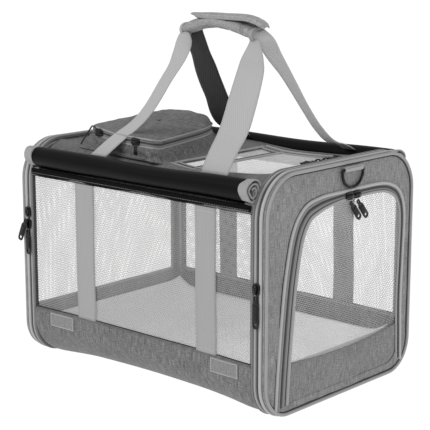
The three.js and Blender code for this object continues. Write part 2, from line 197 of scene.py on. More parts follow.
def bricks(name, path, ref, mat, body, pitch, size, lift=0.0, side=0.0, closed=False, skew=0.0, phase=0.0, skip=None):
    """Small rounded blocks along a path: zip teeth or stitches. size = (along, across, high)."""
    P = np.asarray(path, float)
    L = lens(P, closed)
    Q = np.vstack([P, P[:1]]) if closed else P
    T, N, B = frames(P, closed, ref)
    if closed:
        T, N, B = (np.vstack([x, x[:1]]) for x in (T, N, B))
    s = np.arange(pitch * (0.5 + phase), L[-1] - pitch * 0.4, pitch)
    if skip is not None:
        s = s[~skip(s)]
    at = lambda A: np.stack([np.interp(s, L, A[:, k]) for k in range(3)], 1)
    C, t, n, b = at(Q), unit(at(T)), unit(at(N)), unit(at(B))
    a, w, h = size
    prof = arr([(-.5, -.5, 0), (.5, -.5, 0), (.5, .5, 0), (-.5, .5, 0), (-.34, -.34, 1), (.34, -.34, 1), (.34, .34, 1), (-.34, .34, 1)])
    V = (C[:, None] + (prof[None, :, :1] * a + skew * prof[None, :, 1:2]) * t[:, None] + (prof[None, :, 1:2] * w + side) * b[:, None]
         + (prof[None, :, 2:] * h + lift) * n[:, None])
    quads = arr([(0, 3, 2, 1), (4, 5, 6, 7), (0, 1, 5, 4), (1, 2, 6, 5), (2, 3, 7, 6), (3, 0, 4, 7)]).astype(int)
    F = (np.arange(len(s))[:, None, None] * 8 + quads[None]).reshape(-1, 4)
    return add_obj(name, V.reshape(-1, 3), F, mat, body, None, False, recalc=True)

def solidify(ob, t, offset=0.0):
    m = ob.modifiers.new("thick", "SOLIDIFY"); m.thickness = t * MM; m.offset = offset
    return ob

def bake_mods(ob):
    """Turns the modifiers into mesh."""
    bpy.context.view_layer.update()
    dg = bpy.context.evaluated_depsgraph_get()
    me = bpy.data.meshes.new_from_object(ob.evaluated_get(dg), depsgraph=dg)
    ob.modifiers.clear()
    ob.data = me
    return ob

# ------------------------------------------------------------------ materials
class M:
    """A principled material built from nodes."""
    def __init__(self, name, rough=0.8, metal=0.0, spec=0.35, sheen=0.0):
        self.m = bpy.data.materials.new(name)
        self.m.use_nodes = True
        self.t = self.m.node_tree
        self.t.nodes.clear()
        self.out = self.n("ShaderNodeOutputMaterial")
        self.b = self.n("ShaderNodeBsdfPrincipled")
        self.b.inputs["Roughness"].default_value = rough
        self.b.inputs["Metallic"].default_value = metal
        self.b.inputs["Specular IOR Level"].default_value = spec
        if sheen:
            self.b.inputs["Sheen Weight"].default_value = sheen
            self.b.inputs["Sheen Roughness"].default_value = 0.5
        self.l(self.b.outputs[0], self.out.inputs["Surface"])
    def n(self, kind, **kw):
        x = self.t.nodes.new(kind)
        for k, v in kw.items():
            setattr(x, k, v)
        return x
    def l(self, a, b):
        self.t.links.new(a, b)
    def coord(self, uv=True):
        c = self.n("ShaderNodeTexCoord")
        return c.outputs["UV" if uv else "Object"]
    def scaled(self, src, s, rot=0.0):
        m = self.n("ShaderNodeMapping")
        m.inputs["Scale"].default_value = s if hasattr(s, "__len__") else (s, s, s)
        m.inputs["Rotation"].default_value = (0, 0, rot)
        self.l(src, m.inputs["Vector"])
        return m.outputs[0]
    def noise(self, vec, scale, detail=2.0, rough=0.5):
        x = self.n("ShaderNodeTexNoise")
        x.inputs["Scale"].default_value = scale
        x.inputs["Detail"].default_value = detail
        x.inputs["Roughness"].default_value = rough
        self.l(vec, x.inputs["Vector"])
        return x.outputs["Fac"]
    def wave(self, vec, scale, axis="X", dist=0.0, profile="SIN"):
        x = self.n("ShaderNodeTexWave", wave_type="BANDS", bands_direction=axis, wave_profile=profile)
        x.inputs["Scale"].default_value = scale
        x.inputs["Distortion"].default_value = dist
        x.inputs["Detail"].default_value = 1.0
        x.inputs["Detail Scale"].default_value = 1.5
        self.l(vec, x.inputs["Vector"])
        return x.outputs["Fac"]
    def math(self, op, a, b=None, c=None):
        x = self.n("ShaderNodeMath", operation=op)
        for i, v in enumerate((a, b, c)):
            if v is None: continue
            if isinstance(v, (int, float)): x.inputs[i].default_value = v
            else: self.l(v, x.inputs[i])
        return x.outputs[0]
    def ramp(self, fac, stops):
        x = self.n("ShaderNodeValToRGB")
        e = x.color_ramp.elements
        while len(e) < len(stops): e.new(0.5)
        for i, (p, c) in enumerate(stops):
            e[i].position = p
            e[i].color = (c, c, c, 1) if isinstance(c, (int, float)) else (*c, 1)
        self.l(fac, x.inputs[0])
        return x.outputs[0]
    def bump(self, height, strength, dist):
        x = self.n("ShaderNodeBump")
        x.inputs["Strength"].default_value = strength
        x.inputs["Distance"].default_value = dist
        self.l(height, x.inputs["Height"])
        self.l(x.outputs[0], self.b.inputs["Normal"])
    def color(self, c):
        self.l(c, self.b.inputs["Base Color"])
    def rough(self, r):
        self.l(r, self.b.inputs["Roughness"])

def lin(s):
    return ((s + 0.055) / 1.055) ** 2.4 if s > 0.04045 else s / 12.92

def heather(name, s, uv=True, contrast=0.16, pitch=0.0010):
    """Woven melange canvas. s is the middle grey as seen (sRGB)."""
    m = M(name, rough=0.9, spec=0.2, sheen=0.12)
    c = m.coord(uv)
    k = 1.0 / pitch
    # threads of two shades, in short runs along both directions
    warp = m.noise(m.scaled(c, (k * 0.95, k * 0.06, k * .5)), 1.0, 2.0, 0.6)
    weft = m.noise(m.scaled(c, (k * 0.10, k * 0.95, k * .5)), 1.0, 2.0, 0.6)
    fine = m.noise(m.scaled(c, k * 0.55), 1.0, 1.0)
    big = m.noise(m.scaled(c, 14.0), 1.0, 3.0)
    mix = m.math("ADD", m.math("MULTIPLY", warp, 0.5), m.math("MULTIPLY", weft, 0.32))
    mix = m.math("ADD", mix, m.math("MULTIPLY", fine, 0.18))
    mix = m.math("ADD", m.math("MULTIPLY", mix, 0.92), m.math("MULTIPLY", big, 0.08))
    m.color(m.ramp(mix, [(0.34, lin(s - contrast)), (0.5, lin(s)), (0.66, lin(s + contrast))]))
    w1 = m.wave(m.scaled(c, (k, k, k)), 0.16, "X")
    w2 = m.wave(m.scaled(c, (k, k, k)), 0.16, "Y")
    m.bump(m.math("ADD", m.math("MULTIPLY", w1, w2), m.math("MULTIPLY", fine, 0.8)), 0.5, 0.00035)
    m.rough(m.ramp(fine, [(0.2, 0.82), (0.8, 0.97)]))
    return m.m

def webbing(name, s, rib=0.0021, skew=0.0, contrast=0.05):
    """Ribbed strap: ribs run along its length, with fine weft lines across."""
    m = M(name, rough=0.78, spec=0.3, sheen=0.1)
    c = m.coord(True)
    r = m.wave(m.scaled(c, 1.0, skew), 1.0 / rib / 6.2832 * 0.999, "Y")
    w = m.wave(m.scaled(c, 1.0), 1.0 / 0.0011 / 6.2832, "X")
    big = m.noise(m.scaled(c, (9.0, 30.0, 9.0)), 1.0, 3.0)
    f = m.noise(m.scaled(c, 900.0), 1.0, 1.0)
    mix = m.math("ADD", m.math("MULTIPLY", r, 0.42), m.math("MULTIPLY", w, 0.16))
    mix = m.math("ADD", mix, m.math("ADD", m.math("MULTIPLY", big, 0.27), m.math("MULTIPLY", f, 0.15)))
    m.color(m.ramp(mix, [(0.2, lin(s - contrast)), (0.5, lin(s)), (0.85, lin(s + contrast * 0.8))]))
    m.bump(m.math("ADD", r, m.math("MULTIPLY", w, 0.5)), 0.55, 0.0003)
    return m.m

def plain_weave(name, s, rough=0.8, contrast=0.04, pitch=0.0006, spec=0.3, sheen=0.1, strength=0.4):
    m = M(name, rough=rough, spec=spec, sheen=sheen)
    c = m.coord(True)
    k = 1.0 / pitch / 6.2832
    a = m.wave(m.scaled(c, 1.0), k, "X"); b = m.wave(m.scaled(c, 1.0), k, "Y")
    f = m.noise(m.scaled(c, 700.0), 1.0, 2.0)
    big = m.noise(m.scaled(c, 22.0), 1.0, 3.0)
    mix = m.math("ADD", m.math("MULTIPLY", m.math("MULTIPLY", a, b), 0.35), m.math("ADD", m.math("MULTIPLY", f, 0.3), m.math("MULTIPLY", big, 0.35)))
    m.color(m.ramp(mix, [(0.15, lin(max(s - contrast, 0.01))), (0.45, lin(s)), (0.8, lin(s + contrast))]))
    m.bump(m.math("ADD", m.math("MULTIPLY", a, b), m.math("MULTIPLY", f, 0.5)), strength, 0.0002)
    m.rough(m.ramp(f, [(0.2, max(rough - 0.07, 0)), (0.8, min(rough + 0.07, 1))]))
    return m.m

def net(name, s, cover, pitch=0.0021, rot=0.0):
    """See-through knit: rows of round holes, alternate rows set over by half."""
    m = M(name, rough=0.75, spec=0.25)
    c = m.scaled(m.coord(True), 1.0 / pitch, rot)
    sep = m.n("ShaderNodeSeparateXYZ"); m.l(c, sep.inputs[0])
    y = m.math("MULTIPLY", sep.outputs[1], 1.1547)
    row = m.math("FLOOR", y)
    odd = m.math("MULTIPLY", m.math("MODULO", m.math("ABSOLUTE", row), 2.0), 0.5)
    fx = m.math("SUBTRACT", m.math("FRACT", m.math("ADD", sep.outputs[0], odd)), 0.5)
    fy = m.math("SUBTRACT", m.math("FRACT", y), 0.5)
    d2 = m.math("ADD", m.math("MULTIPLY", fx, fx), m.math("MULTIPLY", m.math("MULTIPLY", fy, fy), 0.8))
    d = m.math("SQRT", d2)
    r = math.sqrt((1 - cover) * 0.8 / math.pi) # hole radius from the covered share
    big = m.noise(m.scaled(m.coord(True), (30.0, 9.0, 9.0)), 1.0, 3.0)
    rr = m.math("ADD", r, m.math("MULTIPLY", m.math("SUBTRACT", big, 0.5), 0.10))
    a = m.n("ShaderNodeMapRange"); a.interpolation_type = "SMOOTHSTEP"
    m.l(m.math("SUBTRACT", d, rr), a.inputs["Value"])
    a.inputs["From Min"].default_value = -0.03; a.inputs["From Max"].default_value = 0.03
    m.l(a.outputs[0], m.b.inputs["Alpha"])
    f = m.noise(m.scaled(m.coord(True), 900.0), 1.0, 1.0)
    m.color(m.ramp(f, [(0.3, lin(s - 0.05)), (0.7, lin(s + 0.05))]))
    m.bump(a.outputs[0], 0.5, 0.0002)
    return m.m

def hard(name, s, rough, metal, coat=0.0, uv=False, speck=120.0, spread=0.08, scratch=0.12):
    m = M(name, rough=rough, metal=metal, spec=0.3)
    if coat: m.b.inputs["Coat Weight"].default_value = coat; m.b.inputs["Coat Roughness"].default_value = 0.12
    c = m.coord(uv)
    a = m.noise(m.scaled(c, speck), 1.0, 4.0, 0.6)
    g = m.noise(m.scaled(c, (900.0, 60.0, 900.0)), 1.0, 2.0)
    m.color(m.ramp(a, [(0.3, lin(max(s - spread * 0.5, 0.005))), (0.75, lin(s + spread))]))
    m.rough(m.ramp(m.math("ADD", m.math("MULTIPLY", a, 0.6), m.math("MULTIPLY", g, 0.4)), [(0.3, rough), (0.7, min(rough + scratch, 1))]))
    m.bump(g, 0.15, 0.00008)
    return m.m

def pile(name, s):
    m = M(name, rough=0.95, spec=0.15, sheen=0.35)
    c = m.coord(True)
    f = m.noise(m.scaled(c, 1100.0), 1.0, 3.0, 0.7)
    g = m.noise(m.scaled(c, (260.0, 420.0, 1)), 1.0, 2.0, 0.6)
    mix = m.math("ADD", m.math("MULTIPLY", f, 0.6), m.math("MULTIPLY", g, 0.4))
    m.color(m.ramp(mix, [(0.3, lin(s - 0.1)), (0.5, lin(s)), (0.7, lin(s + 0.1))]))
    m.bump(mix, 0.9, 0.0009)
    return m.m

HEATHER = heather("heather", 0.515)
# painted shade: the pocket takes a darker copy of the heather, to offset the stronger light falling on it from above
HEATHER_POCKET_SHADE = heather("heather_pocket_painted_shade", 0.41, contrast=0.20)
# painted shade: the top pieces take a darker copy of the heather, to offset the stronger light falling on them from
# above
HEATHER_TOP_SHADE = heather("heather_top_painted_shade", 0.40)
HEATHER_LOW = heather("heather_low", 0.49)
HEATHER_GRIP = heather("heather_grip", 0.60, pitch=0.0008, contrast=0.16)
PIPE = plain_weave("piping", 0.70, rough=0.62, contrast=0.05)
BIND = plain_weave("binding", 0.62, contrast=0.06)
BIND_MID = plain_weave("binding_mid", 0.48, contrast=0.06)
BIND_DARK = plain_weave("binding_dark", 0.20, contrast=0.05)
TAPE = plain_weave("zip_tape", 0.62, contrast=0.05, pitch=0.0009)
TAPE_MID = plain_weave("zip_tape_mid", 0.50, contrast=0.05, pitch=0.0009)
COIL = plain_weave("zip_coil", 0.24, rough=0.45, contrast=0.04, spec=0.5)
WEB = webbing("wall_webbing", 0.635, rib=0.0012, contrast=0.03)
WEB_HANDLE = webbing("handle_webbing", 0.70, rib=0.0014, skew=0.3, contrast=0.028)
# painted shade: a much darker copy of the handle webbing for the inner face of the back-left strap, which lies in shade
WEB_HANDLE_SHADE = webbing("handle_webbing_painted_shade", 0.24, rib=0.0019, skew=0.3, contrast=0.04)
# painted shade: a darker copy of the wall webbing for the back wall straps, which are seen from their shaded inner side
WEB_BACK_SHADE = webbing("back_webbing_painted_shade", 0.45, rib=0.0014, contrast=0.03)
BLACK = plain_weave("black_cloth", 0.032, rough=0.42, contrast=0.015, spec=0.09, sheen=0.0, strength=0.25)
BLACK_IN = plain_weave("black_cloth_flat", 0.04, rough=0.6, contrast=0.015, spec=0.06, sheen=0.0)
THREAD = plain_weave("thread", 0.80, rough=0.6, contrast=0.05, pitch=0.0003)
THREAD_DARK = plain_weave("thread_dark", 0.30, rough=0.6, contrast=0.05, pitch=0.0003)
NET_FRONT = net("net_front", 0.70, 0.30, 0.0030)
NET_BACK = net("net_back", 0.72, 0.28, 0.0031, 0.04)
NET_END = net("net_end", 0.80, 0.19, 0.0031, 0.03)
NET_TOP = net("net_top", 0.92, 0.62, 0.0021, 0.05)
MATTING = plain_weave("matting", 0.93, rough=0.95, contrast=0.05, pitch=0.0016, sheen=0.3, strength=0.6)
# painted shade: a darker copy of the heather for the low band, most of all for its inner faces that lie in shade inside
# the bag
HEATHER_BAND_SHADE = heather("heather_band_painted_shade", 0.435, contrast=0.18)
PATCH = pile("patch", 0.52)
ENAMEL = hard("zip_enamel", 0.035, 0.18, 0.0, coat=0.12, speck=500.0, spread=0.05)
ENAMEL_TAB = hard("tab_enamel", 0.045, 0.28, 0.0, coat=0.05, speck=700.0, spread=0.06)
NICKEL = hard("zip_worn", 0.62, 0.25, 1.0, speck=500.0)
GUNMETAL = hard("gunmetal", 0.17, 0.2, 1.0, speck=300.0)
STEEL = hard("hoop_steel", 0.62, 0.3, 1.0, speck=300.0)
BOARD = hard("board_plastic", 0.16, 0.6, 0.0, speck=60.0)

# ------------------------------------------------------------------ camera, light, floor
def stage():
    az, el = math.radians(42.032), math.radians(11.873)
    back = Vector((math.sin(az) * math.cos(el), -math.cos(az) * math.cos(el), math.sin(el)))
    cam = bpy.data.cameras.new("camera"); co = bpy.data.objects.new("camera", cam)
    bpy.context.scene.collection.objects.link(co)
    co.location = (1.24184, -1.37574, 0.59819)
    co.rotation_mode = "QUATERNION"
    co.rotation_quaternion = (-back).to_track_quat("-Z", "Y")
    cam.lens = 111.733; cam.sensor_width = 36.0; cam.clip_start = 0.05; cam.clip_end = 60
    bpy.context.scene.camera = co

    w = bpy.data.worlds.new("world"); bpy.context.scene.world = w
    w.use_nodes = True
    w.node_tree.nodes["Background"].inputs[0].default_value = (1, 1, 1, 1)
    w.node_tree.nodes["Background"].inputs[1].default_value = 0.62

    def area(name, loc, target, size, power, sy=None):
        l = bpy.data.lights.new(name, "AREA"); o = bpy.data.objects.new(name, l)
        bpy.context.scene.collection.objects.link(o)
        l.shape = "RECTANGLE"; l.size = size; l.size_y = sy or size; l.energy = power
        o.location = loc
        d = Vector(target) - Vector(loc)
        o.rotation_euler = d.to_track_quat("-Z", "Y").to_euler()
    area("key", (-0.7, -2.2, 2.1), (0, 0, 0.2), 1.3, 24)
    area("fill", (2.6, -0.8, 1.3), (0, 0, 0.2), 1.5, 13)
    area("inside", (0.09, 0, 0.272), (0.09, 0, 0.0), 0.22, 0.23, 0.22)
    bpy.context.scene.view_settings.view_transform = "Standard"
    bpy.context.scene.view_settings.look = "None"

    me = bpy.data.meshes.new("floor")
    s = 14.0
    me.from_pydata([(-s, -s, -0.0078), (s, -s, -0.0078), (s, s, -0.0078), (-s, s, -0.0078)], [], [(0, 1, 2, 3)])
    m = M("floor_paint", rough=0.9, spec=0.1)
    n = m.noise(m.scaled(m.coord(False), 3.0), 1.0, 2.0)
    m.color(m.ramp(n, [(0.2, 0.03), (0.8, 0.04)]))
    m.b.inputs["Emission Color"].default_value = (1, 1, 1, 1); m.b.inputs["Emission Strength"].default_value = 1.0
    me.materials.append(m.m)
    fl = bpy.data.objects.new("floor", me)
    bpy.context.scene.collection.objects.link(fl)
stage()

# ------------------------------------------------------------------ how the bag gives
X0 = 206.0
def soft(P):
    """Sag of the sewn bag between its two hoops, in mm."""
    P = np.array(P, float)
    x, y, z = P[..., 0], P[..., 1], P[..., 2]
    b = np.cos(np.pi / 2 * np.clip(np.abs(x) / X0, 0, 1)) ** 2
    wt = smooth01((z - 258) / 45) * (1 - smooth01((z - 350) / 70))
    wy = 1 - 0.72 * smooth01((np.abs(y) - 96) / 50)
    deep = 7.5 * smooth01((x + 20) / 80) * (1 - np.clip(x / X0, 0, 1) ** 5) * (1 - smooth01((np.abs(y) - 98) / 42))
    flat_ = 6.0 * smooth01((x + 10) / 90) * (b - (1 - np.clip(x / X0, 0, 1) ** 5)) * (1 - smooth01((np.abs(y) - 98) / 42))
    dz = (-7.5 * b * wy - deep + flat_) * wt
    wb = (1 - smooth01(z / 66)) * smooth01((np.abs(y) - 70) / 60)
    dz = dz + 4.5 * b ** 0.7 * wb - 4.5 * smooth01((np.abs(x) - 110) / 95) * (1 - smooth01(z / 110))
    side = smooth01((np.abs(y) - 120) / 30)
    dy = -np.sign(y) * side * b * 2.4 * np.sin(np.pi * np.clip(z / 300, 0, 1))
    inner = (np.abs(x) < X0) * np.clip((X0 - np.abs(x)) / 24, 0, 1)
    w = inner * side * smooth01((z - 4) / 20) * (1 - smooth01((z - 255) / 20))
    q = P * arr([1.0, 0.2, 1.0])
    dy = dy + w * wob(q, 0.7, 120, 5)
    P[..., 2] = z + dz
    P[..., 1] = y + dy
    return P

def ends(d=0.0, step=6.0, x=None):
    """Outline of the bag end, d inside its outer edge, as 3-D points at x."""
    a, b = 159 - d, 156 - d
    r = 57 - d
    c = rounded([(-a, 156 - b, r - 10), (a, 156 - b, r - 10), (a, 156 + b, r), (-a, 156 + b, r)], 20)
    c = resample(c, step)
    c[:, 1] -= 4.5 * (1 - smooth01(c[:, 1] / 130))
    if x is None:
        return c
    return np.c_[np.full(len(c), x), c]

def out_normals(path):
    """Outward normals of a closed path in a plane x = const, run anticlockwise seen from +X."""
    T = unit(np.roll(path, -1, 0) - np.roll(path, 1, 0))
    n = np.stack([np.zeros(len(T)), T[:, 2], -T[:, 1]], 1)
    c = path.mean(0)
    if ((path - c) * n).sum() < 0:
        n = -n
    return unit(n)

def ribbon(name, A, B, t, mat, body, out, warp=True, step=3.0, crown=0.0, sharp=False, across=9, finish=None, inner=None):
    """A strap whose two long edges run through the points A and B; out is the side it thickens to."""
    A, B = arr(A), arr(B)
    n = max(8, int(lens((A + B) / 2, False)[-1] / step))
    if len(A) > 2 and not sharp:
        A, B = spline(A, n), spline(B, n)
    else:
        A, B = resample(A, closed=False, count=n), resample(B, closed=False, count=n)
    k = np.linspace(0, 1, across)
    G = A[:, None] * (1 - k[None, :, None]) + B[:, None] * k[None, :, None]
    T = unit(np.gradient((A + B) / 2, axis=0))
    W = unit(B - A)
    N = unit(np.cross(T, W))
    sgn = np.sign((N * arr(out)).sum(1)); sgn[sgn == 0] = 1
    N = N * sgn[:, None]
    if finish is not None:
        G = finish(G, N)
    edge = 1 - np.clip((np.abs(k - .5) * 2 - .9) / .1, 0, 1) * 0.55
    lift = crown * (1 - (2 * k - 1) ** 2)
    top = G + N[:, None] * (t * edge + lift)[None, :, None]
    low = G + N[:, None] * (lift)[None, :, None]
    ring = np.concatenate([top, low[:, ::-1]], 1)
    if warp:
        ring = soft(ring)
    w = np.linalg.norm(B - A, axis=1).mean()
    V1 = np.concatenate([k * w, w + t + (k * w)])
    P, F, uv = grid(ring, cu=False, cv=True, caps=True, V=np.append(V1, V1[-1] + t))
    ob = add_obj(name, P, F, mat, body, uv, True)
    # inner: a second material for the faces on the strap's inner side; the back-left handle strap uses it for painted
    # shade
    if inner is not None:
        ob.data.materials.append(inner)
        m_ = 2 * across
        idx = [1 if (len(f) == 4 and across - 1 < (min(x % m_ for x in f)) < m_ - 1 and max(x % m_ for x in f) > across) else 0 for f in F]
        ob.data.polygons.foreach_set("material_index", idx)
    return ob

def smooth_by_angle(ob, deg=35):
    me = ob.data
    bm = bmesh.new(); bm.from_mesh(me)
    for e in bm.edges:
        if len(e.link_faces) == 2:
            e.smooth = e.calc_face_angle(0) < math.radians(deg)
        else:
            e.smooth = False
    bm.to_mesh(me); bm.free()
    return ob

def rays(center, ang, poly):
    """Where rays from center at these angles meet a closed outline."""
    P = np.asarray(poly, float) - center
    Q = np.roll(P, -1, 0)
    D = np.stack([np.cos(ang), np.sin(ang)], 1)
    E = Q - P
    den = D[:, None, 0] * E[None, :, 1] - D[:, None, 1] * E[None, :, 0]
    den = np.where(np.abs(den) < 1e-12, 1e-12, den)
    t = (P[None, :, 0] * E[None, :, 1] - P[None, :, 1] * E[None, :, 0]) / den
    u = (P[None, :, 0] * D[:, None, 1] - P[None, :, 1] * D[:, None, 0]) / den
    t = np.where((u >= -1e-9) & (u <= 1 + 1e-9) & (t > 0), t, 1e9).min(1)
    return center + D * t[:, None]

def plate(name, outer, hole, center, to3d, mat, body, t, rings=14, bulge=None, warp=True, extra=None, step=4.0):
    """A panel between two outlines that both see the centre. to3d turns (p, q) into a point; the panel thickens by t along its normal."""
    center = arr(center)
    ang = []
    for o in (outer, hole):
        d = np.asarray(resample(o, step)) - center
        ang += list(np.arctan2(d[:, 1], d[:, 0]))
        d = np.asarray(o) - center
        if len(o) < 60:
            ang += list(np.arctan2(d[:, 1], d[:, 0]))
    ang = np.unique(np.round(np.array(ang), 4))
    A, B = rays(center, ang, hole), rays(center, ang, outer)
    k = np.linspace(0, 1, rings)
    G2 = A[:, None] * (1 - k[None, :, None]) + B[:, None] * k[None, :, None]
    G, N = to3d(G2)
    if bulge is not None:
        G = G + N * bulge(G2, np.broadcast_to(k[None, :], G2.shape[:2]))[..., None]
    low = G - N * t
    ring = np.concatenate([G, low[:, ::-1]], 1)
    if warp:
        ring = soft(ring)
    n, m = ring.shape[:2]
    P, F, _ = grid(ring, cu=True, cv=True)
    uv2 = np.concatenate([G2, G2[:, ::-1]], 1)
    uv2[:, rings:, :] += 3.1
    I, J = np.meshgrid(np.arange(n), np.arange(m), indexing="ij")
    I, J = I.ravel(), J.ravel(); I1, J1 = (I + 1) % n, (J + 1) % m
    uvs = np.stack([uv2[I, J], uv2[I1, J], uv2[I1, J1], uv2[I, J1]], 1)
    return smooth_by_angle(add_obj(name, P, F, mat, body, list(uvs), True), 50)

# ------------------------------------------------------------------ walls of the bag
def wall_profile():
    """(|y|, z) of the lower shell's outer face from under the middle up to its top edge."""
    pts = [(0, 0), (60, 0), (102, 0)]
    for k in range(1, 15):
        a = -math.pi / 2 + math.pi / 2 * k / 14
        pts.append((102 + 55.4 * math.cos(a), 57 + 57 * math.sin(a)))
    pts.append((157.4, 69))
    return arr(pts)

wp = resample(wall_profile(), 4.0, closed=False)
full = np.vstack([wp[::-1] * [-1, 1], wp[1:]])
xs = np.linspace(-206, 206, 104)
G = np.stack([np.stack([np.full(len(full), x), full[:, 0], full[:, 1]], 1) for x in xs])
# small folds that run along the band, stronger near the hoops and corners
def band_out(G):
    fold = wob(G * arr([0.35, 1, 1]), 0.55, 34, 11) * smooth01((np.abs(G[..., 1]) - 110) / 30)
    crease = wob(G * arr([1.0, 0.3, 0.6]), 1.0, 30, 12) * smooth01((np.abs(G[..., 0]) - 168) / 34) * smooth01((np.abs(G[..., 1]) - 90) / 30)
    return fold + crease - 0.4 + 0.9 * smooth01((66 - G[..., 2]) / 40) * smooth01(G[..., 2] / 25)
G[..., 1] += np.sign(G[..., 1]) * band_out(G)
G = soft(G)
P, F, uv = grid(G)
# the band takes the darker copy of the heather: painted shade
shell = add_obj("lower_shell_cloth", P, F, HEATHER_BAND_SHADE, "root", uv, True, recalc=False)
solidify(shell, 2.6, -1.0)
bake_mods(shell)
bm = bmesh.new(); bm.from_mesh(shell.data)
bmesh.ops.recalc_face_normals(bm, faces=bm.faces); bm.to_mesh(shell.data); bm.free()
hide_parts("lower_shell")
from mathutils.bvhtree import BVHTree
_tree = BVHTree.FromPolygons([v.co for v in shell.data.vertices], [list(q.vertices) for q in shell.data.polygons])
def band_face(x, z, sy=-1):
    """|y| of the band's outer face at x, z, in mm."""
    hit = _tree.ray_cast(Vector((x * MM, sy * 0.25, z * MM)), Vector((0, -sy, 0)))
    return abs(hit[0].y) / MM if hit[0] is not None else 157.4

def x_strip(name, sy, y, z, prof, mat, x0=-205.4, x1=205.4, ref=None, body="root", step=5.0):
    n = int((x1 - x0) / step)
    path = np.stack([np.linspace(x0, x1, n), np.full(n, sy * y), np.full(n, z)], 1)
    return sweep(name, path, ref if ref is not None else (0, sy, 0), prof, mat, body, bend=soft)

upper = arr([(157.4, 263.6), (156.6, 267), (146, 277), (136.2, 285.4), (121, 298.5), (111, 304), (103.8, 306.5)])
upper = spline(upper, 22)
for side, sy in (("front", -1), ("back", 1)):
    # border over the mesh, round to the top panel
    G = np.stack([np.stack([np.full(len(upper), x), sy * upper[:, 0], upper[:, 1]], 1) for x in xs])
    G[..., 1] += sy * wob(G * arr([0.5, 1, 1]), 0.5, 45, 21 + sy)
    P, F, uv = grid(soft(G))
    o = add_obj(f"upper_{side}_border_cloth", P, F, HEATHER_TOP_SHADE, "root", uv, True, recalc=False)
    solidify(o, 2.4, -1.0 if sy > 0 else 1.0)
    bake_mods(o)
    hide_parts(f"upper_{side}_border")
    x_strip(f"{side}_top_seam", sy, 104.5, 306.2, flat(3.2, 1.1), BIND_MID, ref=(0, 0, 1))
    # mesh wall
    zz = np.linspace(66.5, 265.5, 41)
    xm = np.linspace(-205.6, 205.6, 104)
    G = np.stack([np.stack([np.full(len(zz), x), np.full(len(zz), sy * 156.0), zz], 1) for x in xm])
    edge = np.clip((205.6 - np.abs(G[..., 0])) / 20, 0, 1) * np.clip((G[..., 2] - 66) / 20, 0, 1) * np.clip((265 - G[..., 2]) / 20, 0, 1)
    G[..., 1] -= sy * edge * (0.6 + wob(G * arr([1.0, 1, 0.45]), 0.8, 60, 31 + sy))
    P, F, uv = grid(soft(G), U=xm + 206, V=zz)
    o = add_obj(f"{side}_mesh_net", P, F, NET_FRONT if sy < 0 else NET_BACK, "root", uv, True, recalc=False)
    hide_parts(f"{side}_mesh")
    # seams round the mesh
    x_strip(f"{side}_mesh_low_seam", sy, 157.1, 68.6, flat(3.4, 1.0), HEATHER_LOW)
    x_strip(f"{side}_mesh_low_edge", sy, 157.0, 71.0, flat(1.6, 0.7), BIND_DARK)
    n = 70
    path = np.stack([np.linspace(-204, 204, n), np.full(n, sy * 158.0), np.full(n, 66.6)], 1)
    bricks(f"{side}_band_stitches", soft(path), (0, sy, 0), THREAD_DARK, "root", 3.2, (2.2, 0.45, 0.3))
    for ex in (-1, 1):
        path = np.stack([np.full(44, ex * 204.2), np.full(44, sy * 156.2), np.linspace(66, 292, 44)], 1)
        sweep(f"{side}_mesh_edge_{'right' if ex > 0 else 'left'}", path, (0, sy, 0), flat(4.6, 1.3), BIND_DARK if ex < 0 else BIND_MID, "root", bend=soft)

# wall straps, sewn in under the band and under the flap
for name, x, sy in (("front_left", -99, -1), ("front_right", 127, -1), ("back_left", -111, 1), ("back_right", 113, 1)):
    # the back wall straps take the darker copy of the webbing: painted shade
    m = WEB if sy < 0 else WEB_BACK_SHADE
    zs = np.linspace(67.5, 264.5, 30)
    A = np.stack([x - 18 + 0.5 * np.sin(zs / 40), np.full(30, sy * 157.1), zs], 1)
    B = np.stack([x + 18 + 0.5 * np.sin(zs / 40), np.full(30, sy * 157.1), zs], 1)
    o = ribbon(f"{name}_wall_webbing", A, B, 1.5, m, "root", (0, sy, 0), sharp=True)
    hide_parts(f"{name}_wall_strap")
    for dx in (-15.6, 15.6):
        path = np.stack([np.full(30, x + dx), np.full(30, sy * 158.6), zs], 1)
        bricks(f"{name}_wall_stitches_{'a' if dx < 0 else 'b'}", soft(path), (0, sy, 0), THREAD, "root", 3.0, (2.2, 0.5, 0.32))
    for z in (256.0, 74.5):
        path = np.stack([np.linspace(x - 15, x + 15, 12), np.full(12, sy * 158.6), np.full(12, z)], 1)
        bricks(f"{name}_wall_bar_{int(z)}", soft(path), (0, sy, 0), THREAD, "root", 3.0, (2.2, 0.5, 0.32))

